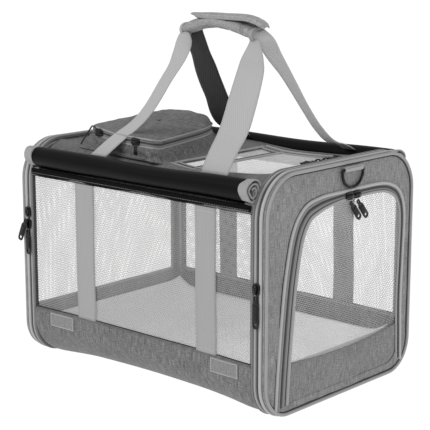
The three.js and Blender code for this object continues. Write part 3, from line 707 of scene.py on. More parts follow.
# patches of loop pile
for name, x in (("front_left", -148), ("front_right", 161)):
    nx, nz = 74, 14
    gx, gz = np.linspace(x - 24, x + 24, nx), np.linspace(46.5, 67, nz)
    Y = arr([[-band_face(a, z) for z in gz] for a in gx])
    G = np.stack([np.repeat(gx[:, None], nz, 1), Y, np.repeat(gz[None], nx, 0)], 2)
    e = np.minimum(np.minimum(G[..., 0] - x + 24, x + 24 - G[..., 0]), np.minimum(G[..., 2] - 46.5, 67 - G[..., 2]))
    rib = 0.25 * np.cos(TAU * (G[..., 0] - x) / 4.0) * np.clip((e - 2.5) / 1.5, 0, 1)
    out = G.copy(); out[..., 1] -= 0.9 + 0.7 * np.clip(e / 2.0, 0, 1) + rib + wob(G, 0.12, 5, 3)
    low = G.copy(); low[..., 1] -= 0.35
    P, F, uv = grid(np.concatenate([out, low[:, ::-1]], 1), cv=True, caps=True)
    o = add_obj(f"{name}_patch_pile", P, F, PATCH, "root", uv, True)
    smooth_by_angle(o, 50)
    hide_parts(f"{name}_patch")
    c = rounded([(x - 22.6, 47.9, 1), (x + 22.6, 47.9, 1), (x + 22.6, 65.6, 1), (x - 22.6, 65.6, 1)], 2)
    c = resample(c, 2.0)
    path = arr([[q[0], -band_face(q[0], q[1]) - 1.55, q[1]] for q in c])
    bricks(f"{name}_patch_stitches", path, (0, -1, 0), THREAD, "root", 2.6, (2.0, 0.8, 0.5), closed=True)

# floor mat, a thin quilted pad that runs up at both sides
gx, gy = np.linspace(-203.6, 203.6, 110), np.linspace(-143, 143, 84)
X, Y = np.meshgrid(gx, gy, indexing="ij")
up = (smooth01((np.abs(X) - 150) / 70) * 45) ** 3 + (smooth01((np.abs(Y) - 96) / 64) * 36) ** 3
edge = np.clip((203.6 - np.abs(X)) / 6, 0, 1) * np.clip((143 - np.abs(Y)) / 6, 0, 1)
q = np.abs(np.sin(X / 21.0)) ** 0.5 * np.abs(np.sin(Y / 21.0)) ** 0.5
Z = 12.6 + np.cbrt(up)
Z = Z + wob(np.stack([X, Y, 0 * X], 2), 1.6, 80, 77) * edge
top_ = np.stack([X, Y, Z + 1.4 + edge * (1.6 + 0.9 * q)], 2)
under = 57 - np.sqrt(np.maximum(55.4 ** 2 - np.clip(np.abs(Y) - 102, 0, 50) ** 2, 1)) + 4.5
low_ = np.stack([X, Y, np.minimum(np.maximum(11.4 + 0.12 * (Z - 12.6), under), Z)], 2)
ring = np.concatenate([top_, low_[:, ::-1]], 1)
P, F, uv = grid(ring, cv=True, caps=True)
mat = add_obj("floor_mat_pad", P, F, MATTING, "root", uv, True)
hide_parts("floor_mat")

# ------------------------------------------------------------------ the two end frames
def ring_sweep(name, d, x, prof, mat, body, sx, step=5.0):
    path = ends(d, step, x)
    o = sweep(name, path, out_normals(path), arr(prof) * [1, 1], mat, body, closed=True)
    return smooth_by_angle(o, 60)

for end, sx in (("right", 1), ("left", -1)):
    body = "root"
    g = ring_sweep(f"{end}_gusset_band", 3.0, sx * 214.2, flat(15.6, 2.0), TAPE_MID, body, sx)
    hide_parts(f"{end}_gusset")
    ring_sweep(f"{end}_gusset_welt", 1.2, sx * 207.6, flat(3.2, 1.6, crown=0.6), BIND_MID, body, sx)
    ring_sweep(f"{end}_gusset_tape_in", 1.1, sx * 211.6, flat(4.4, 1.0, crown=0.5), TAPE, body, sx)
    ring_sweep(f"{end}_gusset_coil_base", 1.6, sx * 215.5, flat(3.2, 1.3, crown=0.4), COIL, body, sx)
    ring_sweep(f"{end}_gusset_tape_out", 1.1, sx * 219.7, flat(5.0, 1.1, crown=0.7), PIPE, body, sx)
    path = ends(0.35, 4.0, sx * 215.5)
    bricks(f"{end}_gusset_teeth", path, out_normals(path), COIL, body, 2.1, (1.2, 2.9, 0.7), lift=-0.6, closed=True)
    hp = ends(5.9, 5.0, sx * 211)
    h = sweep(f"{end}_hoop_wire", hp, out_normals(hp), circle(1.95, 10), STEEL, "root", closed=True)
    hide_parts(f"{end}_frame_hoop")
    path = ends(2.8, 5.0, sx * 227.9)
    pp = sweep(f"{end}_edge_piping", path, out_normals(path), circle(2.2, 12, 2.0), BIND, f"{end}_end", closed=True)
    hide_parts(f"{end}_end_piping")
    # a mid-grey strip in the groove beside the piping: painted shade
    path = ends(4.6, 5.0, sx * 224.6)
    sweep(f"{end}_edge_groove_painted_shade", path, out_normals(path), flat(3.6, 2.6), BIND_MID, f"{end}_end", closed=True)
    # a thin dark line just inside the piping: painted shadow of the piping on the panel
    path = ends(6.0, 4.0, sx * 227.0)
    sweep(f"{end}_edge_seam", path, out_normals(path), circle(0.75, 6), BIND_DARK, f"{end}_end", closed=True)

def arch(d, seg=14):
    return rounded([(-126 + d, 11 + d, max(16 - d, 2)), (134 - d, 11 + d, max(28 - d, 2)), (134 - d, 268 - d, 50 - d), (-92 + d, 268 - d, 62 - d)], seg)

ARCH = spline([(-126, 2), (-122, 60), (-115, 130), (-108, 180), (-96, 228), (-78, 253), (-52, 262), (-21, 265.5), (30, 267), (78, 266.5), (104, 262), (124, 250),
               (135, 222), (134, 160), (132, 103), (134, 50), (136, 2)], 240)
ARCH = resample(ARCH, closed=False, count=240)
_t = unit(np.gradient(ARCH, axis=0)); ARCH_N = np.stack([_t[:, 1], -_t[:, 0]], 1)     # to the inside
for _ in range(8):
    ARCH_N[1:-1] = unit(ARCH_N[:-2] + ARCH_N[1:-1] + ARCH_N[2:])
ARCH_W = 1 - 0.52 * smooth01((np.linspace(0, 1, 240) - 0.33) / 0.16) - 0.12 * smooth01((np.linspace(0, 1, 240) - 0.62) / 0.12)                # the band is widest at the front

def arch_line(d, z0, fixed=False, back=4.5):
    """The zip line of the door, moved d to the inside, from the front foot over to the back foot."""
    c = ARCH + ARCH_N * (d * (1 if fixed else ARCH_W))[..., None] if not np.isscalar(d * 1.0) else ARCH + ARCH_N * (d * (np.ones(240) if fixed else ARCH_W))[:, None]
    c = c[c[:, 1] >= z0 - 3]
    while c[-1, 1] < z0 + back and len(c) > 20:
        c = c[:-1]
    c[0, 1] = z0
    return c

def on_end(c, x):
    return np.c_[np.full(len(c), x), c]

prof_end = ends(1.2, 3.0)
def end_bulge(seed, amount):
    def f(G2, k):
        Q = np.concatenate([G2, np.zeros(G2.shape[:2] + (1,))], 2)
        return amount * np.sin(np.pi * k) ** 0.8 + wob(Q, 0.45, 55, seed) * np.sin(np.pi * k)
    return f
def right3(G2):
    G = np.concatenate([np.full(G2.shape[:2] + (1,), 226.0), G2], 2)
    return G, np.broadcast_to(arr((1.0, 0, 0)), G.shape)
def left3(G2):
    G = np.concatenate([np.full(G2.shape[:2] + (1,), -226.0), G2], 2)
    return G, np.broadcast_to(arr((-1.0, 0, 0)), G.shape)
rp = plate("right_end_cloth", prof_end, arch(-0.2), (4, 140), right3, HEATHER, "right_end", 2.8, 12, end_bulge(41, 1.1), warp=False)
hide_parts("right_end_panel")
lhole = rounded([(-150, 64, 5), (150, 64, 5), (150, 290, 44), (-150, 290, 44)], 12)
lp = plate("left_end_cloth", prof_end, lhole, (0, 178), left3, HEATHER, "left_end", 2.8, 10, end_bulge(43, 0.8), warp=False)
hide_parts("left_end_panel")
c = resample(lhole, 4.0)
sweep("left_window_binding", on_end(c, -226.4), (-1, 0, 0), flat(7, 1.3, crown=0.6), BIND, "left_end", closed=True)

def net_fill(name, hole, center, x, mat, body, seed, belly=1.2, inset=3.0, dip=0.0):
    c = resample(hole, 6.0)
    cc = arr(center)
    k = np.linspace(0.0, 1.0, 14)[1:]
    G2 = cc + (c[:, None] - cc) * k[None, :, None]
    n, m = G2.shape[:2]
    Q = np.concatenate([G2, np.zeros((n, m, 1))], 2)
    off = belly * (1 - k[None, :] ** 2) + wob(Q, 0.5, 70, seed) * (1 - k[None, :] ** 3)
    off = off - dip * (1 - smooth01((G2[..., 1] - 55) / 26))
    V = np.concatenate([(x + np.sign(x) * off)[..., None], G2], 2).reshape(-1, 3)
    V = np.vstack([V, [[x + np.sign(x) * belly, *cc]]])
    idx = np.arange(n * m).reshape(n, m)
    F, uvs = [], []
    U = np.vstack([G2.reshape(-1, 2), cc])
    for i in range(n):
        i1 = (i + 1) % n
        F.append([len(V) - 1, idx[i, 0], idx[i1, 0]])
        for j in range(m - 1):
            F.append([idx[i, j], idx[i, j + 1], idx[i1, j + 1], idx[i1, j]])
    uvs = [U[f] for f in F]
    return add_obj(name, V, F, mat, body, uvs, True, recalc=True)

o = net_fill("left_end_net", lhole, (0, 178), -224.6, NET_END, "left_end", 51)
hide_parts("left_end_mesh")

# arched door: piping and outer tape stay on the end panel, the rest opens
def wscale(c):
    """How much of its full width the band has at each point."""
    d = ((c[:, None] - ARCH[None]) ** 2).sum(2)
    return ARCH_W[d.argmin(1)]

c = resample(arch_line(-10.6, 6.4), 3.5, closed=False)
sweep("right_arch_piping", on_end(c, 227.3), (1, 0, 0), circle(2.3, 10), PIPE, "right_end")
c = resample(arch_line(-13.4, 7.6), 3.5, closed=False)
sweep("right_arch_seam", on_end(c, 226.6), (1, 0, 0), flat(1.3, 0.6), BIND_DARK, "right_end")
c = resample(arch_line(-4.9, 4.4), 3.5, closed=False)
sweep("right_arch_tape", on_end(c, 226.4), (1, 0, 0), flat(6.6, 1.2, crown=0.35), TAPE_MID, "right_end", scale=wscale(c))
c = resample(arch_line(-7.6, 5.0), 3.5, closed=False)
sweep("right_arch_tape_line", on_end(c, 226.7), (1, 0, 0), flat(1.1, 0.7), BIND_DARK, "right_end", scale=wscale(c))

def door_side(c, x, prof, mat, name, closed=False, scale=None):
    return sweep(name, on_end(c, x), (1, 0, 0), prof, mat, "right_door", closed=closed, scale=scale)
c = resample(arch_line(0.0, 9.0, back=3), 3.5, closed=False)
door_side(c, 226.6, flat(3.2, 1.0, crown=0.3), COIL, "right_door_coil_base")
bricks("right_door_teeth", on_end(c, 227.5), (1, 0, 0), COIL, "right_door", 2.1, (1.25, 2.8, 0.7))
c = resample(arch_line(4.9, 9.2, back=3), 3.5, closed=False)
door_side(c, 226.4, flat(6.4, 1.2, crown=0.35), TAPE_MID, "right_door_tape", scale=wscale(c))
c = resample(arch_line(8.6, 9.2, back=3), 3.5, closed=False)
door_side(c, 226.7, flat(1.5, 0.8), BIND_DARK, "right_door_seam", scale=wscale(c))
window = rounded([(-110, 63, 3), (122, 62, 3), (122, 253, 38), (-76, 253, 50)], 14)
c = resample(arch_line(12.2, 10, back=3), 3.5, closed=False)
door_side(c, 226.0, flat(6.6, 2.0, crown=0.9), BIND, "right_door_binding", scale=0.25 + 0.75 * wscale(c))
# door cloth: lower part, with an upper edge that hangs a little
ny, nz = 74, 18
ty = np.linspace(0, 1, ny)
yl = -125 + (134 - 1.0 + 125 - 1.0) * ty
topz = 64.0 - 6.6 * np.sin(np.pi * np.clip((yl + 110) / 232, 0, 1)) ** 0.9
lowz = np.full(ny, 8.4)
k = np.linspace(0, 1, nz)
G = np.stack([np.full((ny, nz), 225.2), np.repeat(yl[:, None], nz, 1), lowz[:, None] * (1 - k) + topz[:, None] * k], 2)
# follow the slanted front side and the rounded feet
shift = np.clip((G[..., 2] - 11) / 257 * 34, 0, 50)
wl = 1 - ty[:, None]
G[..., 1] += shift * wl
foot = 16 - np.sqrt(np.maximum(16 ** 2 - np.clip(27 - G[..., 2], 0, 16) ** 2, 0))
foot2 = 28 - np.sqrt(np.maximum(28 ** 2 - np.clip(39 - G[..., 2], 0, 28) ** 2, 0))
G[..., 1] += foot * np.clip(1 - ty[:, None] * 8, 0, 1) - foot2 * np.clip(1 - (1 - ty[:, None]) * 6, 0, 1)
G[..., 0] += 1.6 * np.sin(np.pi * k)[None, :] * np.sin(np.pi * ty)[:, None] ** 0.5 + wob(G, 0.5, 50, 61) * np.sin(np.pi * ty)[:, None]
P, F, uv = grid(G)
dc = add_obj("right_door_cloth", P, F, HEATHER_LOW, "right_door", uv, True, recalc=False)
solidify(dc, 2.0, -1.0); bake_mods(dc)
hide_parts("right_door_frame")
path = G[:, -1] + arr((0.3, 0, -0.6))
sweep("right_door_sill_seam", path, (1, 0, 0), flat(1.6, 0.8), HEATHER_LOW, "right_door")
c = resample(arch_line(12.5, 52), 5.0, closed=False)
mesh_hole = np.vstack([c, resample(np.array([c[-1], c[0]]), 5.0, closed=False)[1:-1]])
o = net_fill("right_door_net", mesh_hole, (8, 150), 225.6, NET_END, "right_door", 52, belly=0.8, dip=4.2)
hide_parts("right_door_mesh")

# ------------------------------------------------------------------ top: panel, see-through door, pocket
top_hole = rounded([(16, -94.5, 8), (195.5, -94.5, 28), (195.5, 92.5, 26), (16, 92.5, 8)], 12)
top_rect = arr([(-206, -103.6), (206, -103.6), (206, 103.6), (-206, 103.6)])
def top3(G2):
    G = np.concatenate([G2, np.full(G2.shape[:2] + (1,), 306.6)], 2)
    return G, np.broadcast_to(arr((0, 0, 1.0)), G.shape)
def top_bulge(G2, k):
    Q = np.concatenate([G2, np.zeros(G2.shape[:2] + (1,))], 2)
    return wob(Q, 0.6, 60, 71) * np.sin(np.pi * k)
def split_rect(poly, step):
    return resample(poly, step)
# the top panel takes the darker copy of the heather: painted shade
tp = plate("top_cloth", split_rect(top_rect, 3.0), top_hole, (120, 0), top3, HEATHER_TOP_SHADE, "root", 2.2, 40, top_bulge)
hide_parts("top_panel")

c = resample(top_hole, 3.5)
def top_path(c, z):
    return soft(np.c_[c, np.full(len(c), z)])
def hole_line(d, x0=52.0):
    """The U-shaped zip line of the top door, open at its hinge side; d inwards."""
    p = rounded([(x0, -92.5 + d, 0), (195.5 - d, -92.5 + d, max(26 - d, 3)), (195.5 - d, 92.5 - d, max(26 - d, 3)), (x0, 92.5 - d, 0)], 12)
    return resample(p, 3.5, closed=False)
sweep("top_zip_piping", top_path(hole_line(-7.6, 12), 307.2), (0, 0, 1), circle(1.7, 8), PIPE, "root")
sweep("top_zip_tape", top_path(hole_line(-3.4, 12), 306.6), (0, 0, 1), flat(5.6, 1.1, crown=0.3), TAPE_MID, "root")
TOPZ = 307.1
sweep("top_door_coil_base", top_path(hole_line(1.6), TOPZ - 0.5), (0, 0, 1), flat(3.0, 1.0, crown=0.3), COIL, "top_door")
bricks("top_door_teeth", top_path(hole_line(1.6), TOPZ + 0.3), (0, 0, 1), COIL, "top_door", 2.1, (1.2, 2.6, 0.6))
fr = sweep("top_door_tape", top_path(hole_line(6.2), TOPZ - 0.7), (0, 0, 1), flat(6.0, 1.4, crown=0.4), BIND, "top_door")
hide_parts("top_door_frame")
pth = top_path(resample(arr([(49.5, -90), (49.5, 90)]), 4, closed=False), TOPZ - 0.7)
sweep("top_door_hinge_tape", pth, (0, 0, 1), flat(8.0, 1.5, crown=0.6), BIND, "top_door")
pth = top_path(resample(arr([(43.0, -92), (43.0, 92)]), 4, closed=False), 306.7)
sweep("top_hinge_seam", pth, (0, 0, 1), flat(2.4, 1.0), BIND_DARK, "root")
gx = np.linspace(50, 190, 44); gy = np.linspace(-88, 88, 48)
G = np.stack([np.stack([np.full(len(gy), a), gy, np.full(len(gy), TOPZ - 0.4)], 1) for a in gx])
e = np.clip(np.minimum(np.minimum(G[..., 0] - 50, 190 - G[..., 0]), 88 - np.abs(G[..., 1])) / 30, 0, 1)
G[..., 2] += -3.0 * smooth01(e) + wob(G, 0.8, 55, 81) * smooth01(e)
cr = np.clip((np.abs(G[..., 0] - 120) - 50) / 20, 0, 1) * np.clip((np.abs(G[..., 1]) - 68) / 20, 0, 1)
G[..., 0] -= np.sign(G[..., 0] - 120) * 6 * cr; G[..., 1] -= np.sign(G[..., 1]) * 6 * cr
P, F, uv = grid(soft(G))
o = add_obj("top_door_net", P, F, NET_TOP, "top_door", uv, True, recalc=False)
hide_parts("top_door_mesh")

# fixed strip of net between the pocket and the door, with the blind ends of the zip
gx = np.linspace(13.5, 46, 16); gy = np.linspace(-94, 94, 60)
G = np.stack([np.stack([np.full(len(gy), a), gy, np.full(len(gy), TOPZ - 1.6)], 1) for a in gx])
G[..., 2] += wob(G, 0.6, 50, 83) * np.clip((46 - G[..., 0]) / 10, 0, 1) - 0.4
P, F, uv = grid(soft(G))
add_obj("top_side_net", P, F, NET_TOP, "root", uv, True, recalc=False)
for sy in (-1, 1):
    pth = top_path(resample(arr([(14.0, sy * 90.4), (45.0, sy * 90.4)]), 2.5, closed=False), TOPZ - 0.5)
    sweep(f"top_zip_end_coil_{'a' if sy < 0 else 'b'}", pth, (0, 0, 1), flat(3.0, 1.0, crown=0.3), COIL, "root")
    pth = top_path(resample(arr([(14.0, sy * 86.2), (45.0, sy * 86.2)]), 2.5, closed=False), TOPZ - 0.7)
    sweep(f"top_zip_end_tape_{'a' if sy < 0 else 'b'}", pth, (0, 0, 1), flat(5.4, 1.2, crown=0.4), BIND, "root")
pth = top_path(resample(arr([(13.5, -93), (13.5, 93)]), 4, closed=False), 307.0)
sweep("top_side_binding", pth, (0, 0, 1), flat(6.5, 1.4, crown=0.5), BIND, "root")

# pocket: a cloth box whose round lid is closed by a zip
plan = arr([(-148, -52), (-146, -84), (-136, -103), (-118, -110.5), (-92, -115), (-55, -117.5), (-24, -119.5), (-8, -119.5), (-3.5, -112), (-7, -92), (-14, -58), (-24, -20),
            (-35, 14), (-50, 46), (-68, 68), (-98, 77), (-126, 76), (-142, 54), (-149, 12)])
def closed_spline(pts, n):
    P = arr(pts); m = len(P)
    t = np.linspace(0, m, n, endpoint=False); i = t.astype(int); f = (t - i)[:, None]
    a, b, c_, d = P[(i - 1) % m], P[i % m], P[(i + 1) % m], P[(i + 2) % m]
    return 0.5 * (2 * b + (c_ - a) * f + (2 * a - 5 * b + 4 * c_ - d) * f ** 2 + (3 * b - a - 3 * c_ + d) * f ** 3)
plan = resample(closed_spline(plan, 500), 3.0)
T = unit(np.roll(plan, -1, 0) - np.roll(plan, 1, 0))
plan_n = np.stack([T[:, 1], -T[:, 0]], 1)
if ((plan - plan.mean(0)) * plan_n).sum() < 0:
    plan_n = -plan_n
for _ in range(3):
    plan_n = unit(plan_n + np.roll(plan_n, 1, 0) + np.roll(plan_n, -1, 0))
front = np.clip(-plan_n[:, 1], 0, 1)          # how much the wall faces the front
ZB = 323.0                                     # height of the zip
def zip_z(p):
    """The zip runs a little higher at the right front corner and lower at the back."""
    return ZB + 5.5 + 3.0 * smooth01((-p[..., 0] - 70) / 60) * smooth01((-p[..., 1] - 60) / 40) - 1.0 * smooth01((p[..., 1] + 40) / 110)
zc = zip_z(plan)
def pocket_ring(off, z):
    return np.c_[plan + plan_n * off, np.full(len(plan), 0) + z]
right_, left_ = np.clip(plan_n[:, 0], 0, 1), np.clip(-plan_n[:, 0], 0, 1)
levels = [(3.5, 305.6), (2.0, 306.8), (1.2, 308.8), (1.6, 311.5), (2.0, 314.5), (1.6, 317.0), (0.4, None)]
rows = []
for i_, (off, z) in enumerate(levels):
    zz = (zc - 5.0) if z is None else 306 + (z - 306) * (zc - 5.0 - 306) / 12.5
    flare = (11.0 * right_ + 24.0 * left_) * (1 - i_ / 6.0) ** 1.1
    rows.append(pocket_ring((off + flare)[:, None], zz))
G = np.stack(rows, 1)
K = spline(np.arange(len(levels))[:, None], 22)[:, 0]
G = np.stack([np.stack([np.interp(K, np.arange(len(levels)), G[i, :, k]) for k in range(3)], 1) for i in range(len(plan))])
hgt = np.clip((G[..., 2] - 306) / 13, 0, 1)
# slack front cloth buckles into steep folds
fr_ = front[:, None] * np.sin(np.pi * hgt) ** 0.7
u = G[..., 0] * 1.0 + 7 * np.sin(G[..., 2] / 5.0)
buck = np.sin(u / 4.6 + 1.8 * np.sin(u / 15.0)) * (0.6 + 0.4 * np.sin(u / 19.0 + 1.0))
amount = fr_ * 3.0 * buck + wob(G * arr([1, 1, 1.6]), 1.0, 26, 91) * np.sin(np.pi * hgt)
G[..., :2] += plan_n[:, None] * amount[..., None]
P, F, uv = grid(soft(G), cu=True)
# the pocket walls take the darker copy of the heather: painted shade
pw = add_obj("pocket_walls", P, F, HEATHER_POCKET_SHADE, "root", uv, True, recalc=False)
solidify(pw, 2.0, -1.0); bake_mods(pw)
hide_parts("pocket_body")
pc = pocket_ring(3.0, 306.9)
sweep("pocket_foot_seam", soft(pc), (0, 0, 1), flat(2.6, 1.2), BIND_MID, "root", closed=True)

n3 = np.c_[plan_n, np.zeros(len(plan_n))]
def zip_part():
    """Where the zip runs: from the front left, round the right side, to the back."""
    x, y = plan[:, 0], plan[:, 1]
    on = (x > -124) | ((y > 40) & (x > -110))
    i0 = int(np.where(on & ~np.roll(on, 1))[0][0])
    order = np.roll(np.arange(len(plan)), -i0)
    on = on[order]
    stop = int(np.argmin(on)) if not on.all() else len(order)
    return order[:stop]
ZI = zip_part()
def pocket_sweep(name, off, dz, prof, mat, body, whole=False):
    path = soft(pocket_ring(off, zc + dz))
    if whole:
        return smooth_by_angle(sweep(name, path, n3, prof, mat, body, closed=True), 60)
    return smooth_by_angle(sweep(name, path[ZI], n3[ZI], prof, mat, body), 60)
def lid_part(ob):
    ob.parent = None
    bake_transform(ob)
    return ob
pocket_sweep("pocket_piping_low", 0.5, -5.4, circle(1.25, 8), TAPE, "root")
pocket_sweep("pocket_tape_low", -0.6, -2.8, flat(4.6, 1.0, crown=0.3), TAPE_MID, "root")
pocket_sweep("pocket_coil_base", -0.8, 0.1, flat(2.6, 1.3, crown=0.3), COIL, "root")
path = soft(pocket_ring(0.4, zc + 0.1))[ZI]
bricks("pocket_teeth", path, n3[ZI], COIL, "root", 2.1, (1.2, 2.4, 0.6))
rest = np.array([i for i in np.roll(np.arange(len(plan)), -int(ZI[-1])) if i not in set(ZI[2:-2].tolist())])
band = soft(pocket_ring(-1.4, zc))[rest]
smooth_by_angle(sweep("pocket_back_band", band, n3[rest], flat(9.6, 1.6, crown=0.8), HEATHER_POCKET_SHADE, "root"), 60)

# lid: crown of the pocket
LIDZ = 343.0
def lid_top(x, y):
    """Height of the crown over the plan."""
    u, v = (x + 92) / 84.0, (y + 16) / 98.0
    peak = 4.2 * np.exp(-((x + 122) / 46) ** 2 - ((y - 42) / 50) ** 2)
    low = -11.0 * smooth01((x + 70 + 0.18 * y) / 60) - 4.0 * smooth01((-y - 40) / 70)
    return LIDZ + peak + low - 1.0 * (u * u + v * v)
ks = np.concatenate([np.linspace(0, 1, 9)[:-1] ** 1.0 * 0.2, np.linspace(0.2, 1, 20)])
ctr = arr((-88.0, -20.0))
INSET = 10.0 + 9.0 * left_ - 3.0 * right_
for _ in range(6):
    INSET = (np.roll(INSET, 1) + INSET + np.roll(INSET, -1)) / 3
rim_off, rim_z = -0.6, zc + 5.0
rows = []
for kk in ks:
    # kk = 0 at the rim, 1 in the middle
    p = plan + plan_n * rim_off
    s_in = kk / 0.2
    if kk < 0.2:
        ang = s_in * math.pi / 2
        inset = INSET * (1 - math.cos(ang))
        q = p - plan_n * inset[:, None]
        zt = lid_top(q[:, 0], q[:, 1])
        z = rim_z + (zt - rim_z) * math.sin(ang) ** 0.85
    else:
        base = p - plan_n * INSET[:, None]
        t = (kk - 0.2) / 0.8
        q = base * (1 - t) + ctr * t
        z = lid_top(q[:, 0], q[:, 1])
    rows.append(np.c_[q, z])
G = np.stack(rows, 1)
G = G[:, ::-1]
kk = ks[::-1][None, :]
shoulder = np.clip(1 - np.abs(kk - 0.14) / 0.2, 0, 1)
G[..., 2] += wob(G * arr([1, 1, 0]), 1.0, 48, 101) * smooth01(kk * 4) + wob(G * arr([1, 1, 0]), 0.55, 20, 102) * shoulder
G[..., :2] += plan_n[:, None] * (wob(G, 1.0, 24, 103) * shoulder * (kk > 0) * (kk < 0.5))[..., None]
G = G[:, 1:]
P, F, uv = grid(soft(G), cu=True)
uvp = G[..., :2].reshape(-1, 2)
uvs = [uvp[f] for f in F]
lid = add_obj("pocket_lid_cloth", P, F, HEATHER_POCKET_SHADE, "root", uvs, True, recalc=False)
bm = bmesh.new(); bm.from_mesh(lid.data)
bmesh.ops.remove_doubles(bm, verts=bm.verts, dist=0.0004); bm.to_mesh(lid.data); bm.free()
solidify(lid, 2.0, 1.0); bake_mods(lid)
bm = bmesh.new(); bm.from_mesh(lid.data)
bmesh.ops.recalc_face_normals(bm, faces=bm.faces); bm.to_mesh(lid.data); bm.free()
lid_part(lid)
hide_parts("pocket_lid")
lid_part(pocket_sweep("pocket_tape_high", -0.6, 2.8, flat(4.2, 1.0, crown=0.3), TAPE_MID, "root"))
lid_part(pocket_sweep("pocket_piping_high", 0.7, 5.3, circle(1.25, 8), BIND, "root"))
i_ = int(np.argmin(((plan - arr((-138, -102))) ** 2).sum(1)))
j_ = int(np.argmin(((plan - arr((-108, -111.5))) ** 2).sum(1)))
seg = np.arange(min(i_, j_), max(i_, j_) + 1)
if i_ < j_: seg = seg[::-1]
top_run = pocket_ring(0.4, zc + 4.6)[seg]
down = np.stack([np.append(plan[i_] + plan_n[i_] * (0.6 + 24 * (1 - (1 - t) ** 1.1) * left_[i_] + 1.0), (zc[i_] + 4.6) * (1 - t) + 306.5 * t) for t in np.linspace(0.06, 1, 14)])
path = soft(resample(spline(np.vstack([top_run[::3], down[::2]]), 70), 2.5, closed=False))
refs = unit(path - arr((-100, -20, 318)))
sweep("pocket_left_seam", path, refs, circle(1.15, 8), BIND_DARK, "root")

# ------------------------------------------------------------------ rolled privacy flaps
def spiral(turns, r0, r1, a0, n):
    t = np.linspace(0, 1, n)
    a = a0 + t * turns * TAU
    return a, r0 + (r1 - r0) * t

TURNS, R_IN, R_OUT = 3.55, 3.6, 15.6
for side, sy in (("front", -1), ("back", 1)):
    n = 150
    a, r = spiral(TURNS, R_IN, R_OUT, 0.0, n)
    # outer end leaves at the bottom, towards the wall
    a = a - a[-1] - math.pi / 2 * 1.0
    cy, cz = 157.2, 290.5
    a_body, r_body = a, r
    def roll_grid(x0, x1, nx, t, loose, flare=0.0, hem=False):
        gx = np.linspace(x0, x1, nx)
        if hem:
            a, r = spiral(2.6, 3.0, R_OUT + 0.4, 0.0, n)
            a = a - a[-1] - math.pi / 2
        else:
            a, r = a_body, r_body
        G = np.zeros((nx, n, 3))
        for i, x in enumerate(gx):
            q = np.c_[np.full(n, x * 0.6), np.cos(a) * 14, np.sin(a) * 14]
            rr = r + wob(q, loose, 60 if not hem else 22, 121) * np.linspace(0.5, 1, n) + flare * (i / max(nx - 1, 1))
            oval = 1 + 0.03 * np.sin(x / 55.0 + 1)
            yy, zz_ = cy + rr * np.cos(a) * oval, cz + rr * np.sin(a) / oval
            G[i] = np.stack([np.full(n, x), sy * yy, zz_], 1)
        N = np.zeros_like(G)
        Tn = np.gradient(G, axis=1)
        N[..., 1], N[..., 2] = Tn[..., 2], -Tn[..., 1]
        N = unit(N)
        c0 = G.mean(1, keepdims=True)
        N *= np.sign(((G - c0) * N).sum(2).mean())
        top = G + N * t / 2; low = G - N * t / 2
        return np.concatenate([top, low[:, ::-1]], 1)
    ring = soft(roll_grid(-193, 193, 60, 1.1, 0.55))
    P, F, uv = grid(ring, cv=True, caps=True)
    roll = add_obj(f"{side}_flap_roll_cloth", P, F, BLACK, "root", uv, True)
    smooth_by_angle(roll, 60)
    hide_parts(f"{side}_flap_roll")
    for e, (x0, x1) in (("left", (-206.5, -192.6)), ("right", (192.6, 206.5))):
        if e == "left": ring = roll_grid(x1, x0, 8, 2.0, 1.3, 1.0, True)
        else: ring = roll_grid(x0, x1, 8, 2.0, 1.3, 1.0, True)
        P, F, uv = grid(soft(ring), cv=True, caps=True)
        h = add_obj(f"{side}_flap_hem_{e}", P, F, BIND, "root", uv, True)
        smooth_by_angle(h, 50)
    # strip by which the flap hangs from the border
    nx = 90
    gx = np.linspace(-205, 205, nx)
    line = spline(arr([(158.2, 262.6), (159.2, 265.5), (159.6, 269.5), (158.9, 273.6)]), 9)
    G = np.stack([np.stack([np.full(9, x), sy * (line[:, 0] + 0.5), line[:, 1]], 1) for x in gx])
    G[..., 1] += sy * wob(G * arr([1, 1, 0.5]), 0.35, 30, 131)
    P, F, uv = grid(soft(G))
    st = add_obj(f"{side}_flap_strip_cloth", P, F, BLACK_IN, "root", uv, True, recalc=False)
    solidify(st, 1.2, 0.0); bake_mods(st)
    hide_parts(f"{side}_flap_strip")
    path = np.stack([gx, np.full(nx, sy * 160.7), np.full(nx, 267.2)], 1)
    sts = bricks(f"{side}_flap_stitches", soft(path), (0, sy, 0), TAPE_MID, "root", 4.2, (2.8, 0.8, 0.5))

# ------------------------------------------------------------------ handle
def strap(name, node, A, B, mat, out, drop=True, step=4.0, inner=None):
    def f(G, N):
        k = np.linspace(0, 1, G.shape[1])
        return G + N[:, None] * (wob(G, 0.5, 60, 201 + len(name)) * 1.0)[..., None]
    o = ribbon(name, A, B, 1.7, mat, "root", out, finish=f, step=step, across=11, inner=inner)
    if node:
        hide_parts(node)
    if drop:
        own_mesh(o)
    return o

strap("handle_fl_webbing", "handle_front_left_strap",
      [(-100, -143, 302), (-80, -118.2, 331.5), (-57.8, -88, 364.5), (-44.4, -52, 412), (-48, -33, 436), (-53.5, -17, 456.4), (-51.5, -9, 468)],
      [(-70, -143, 303), (-52.8, -118.2, 331.5), (-34.6, -88, 366.5), (-19.6, -52, 414), (-17, -33, 438), (-27, -16, 452), (-38, -8, 463)], WEB_HANDLE, (0, -1, 0.4))
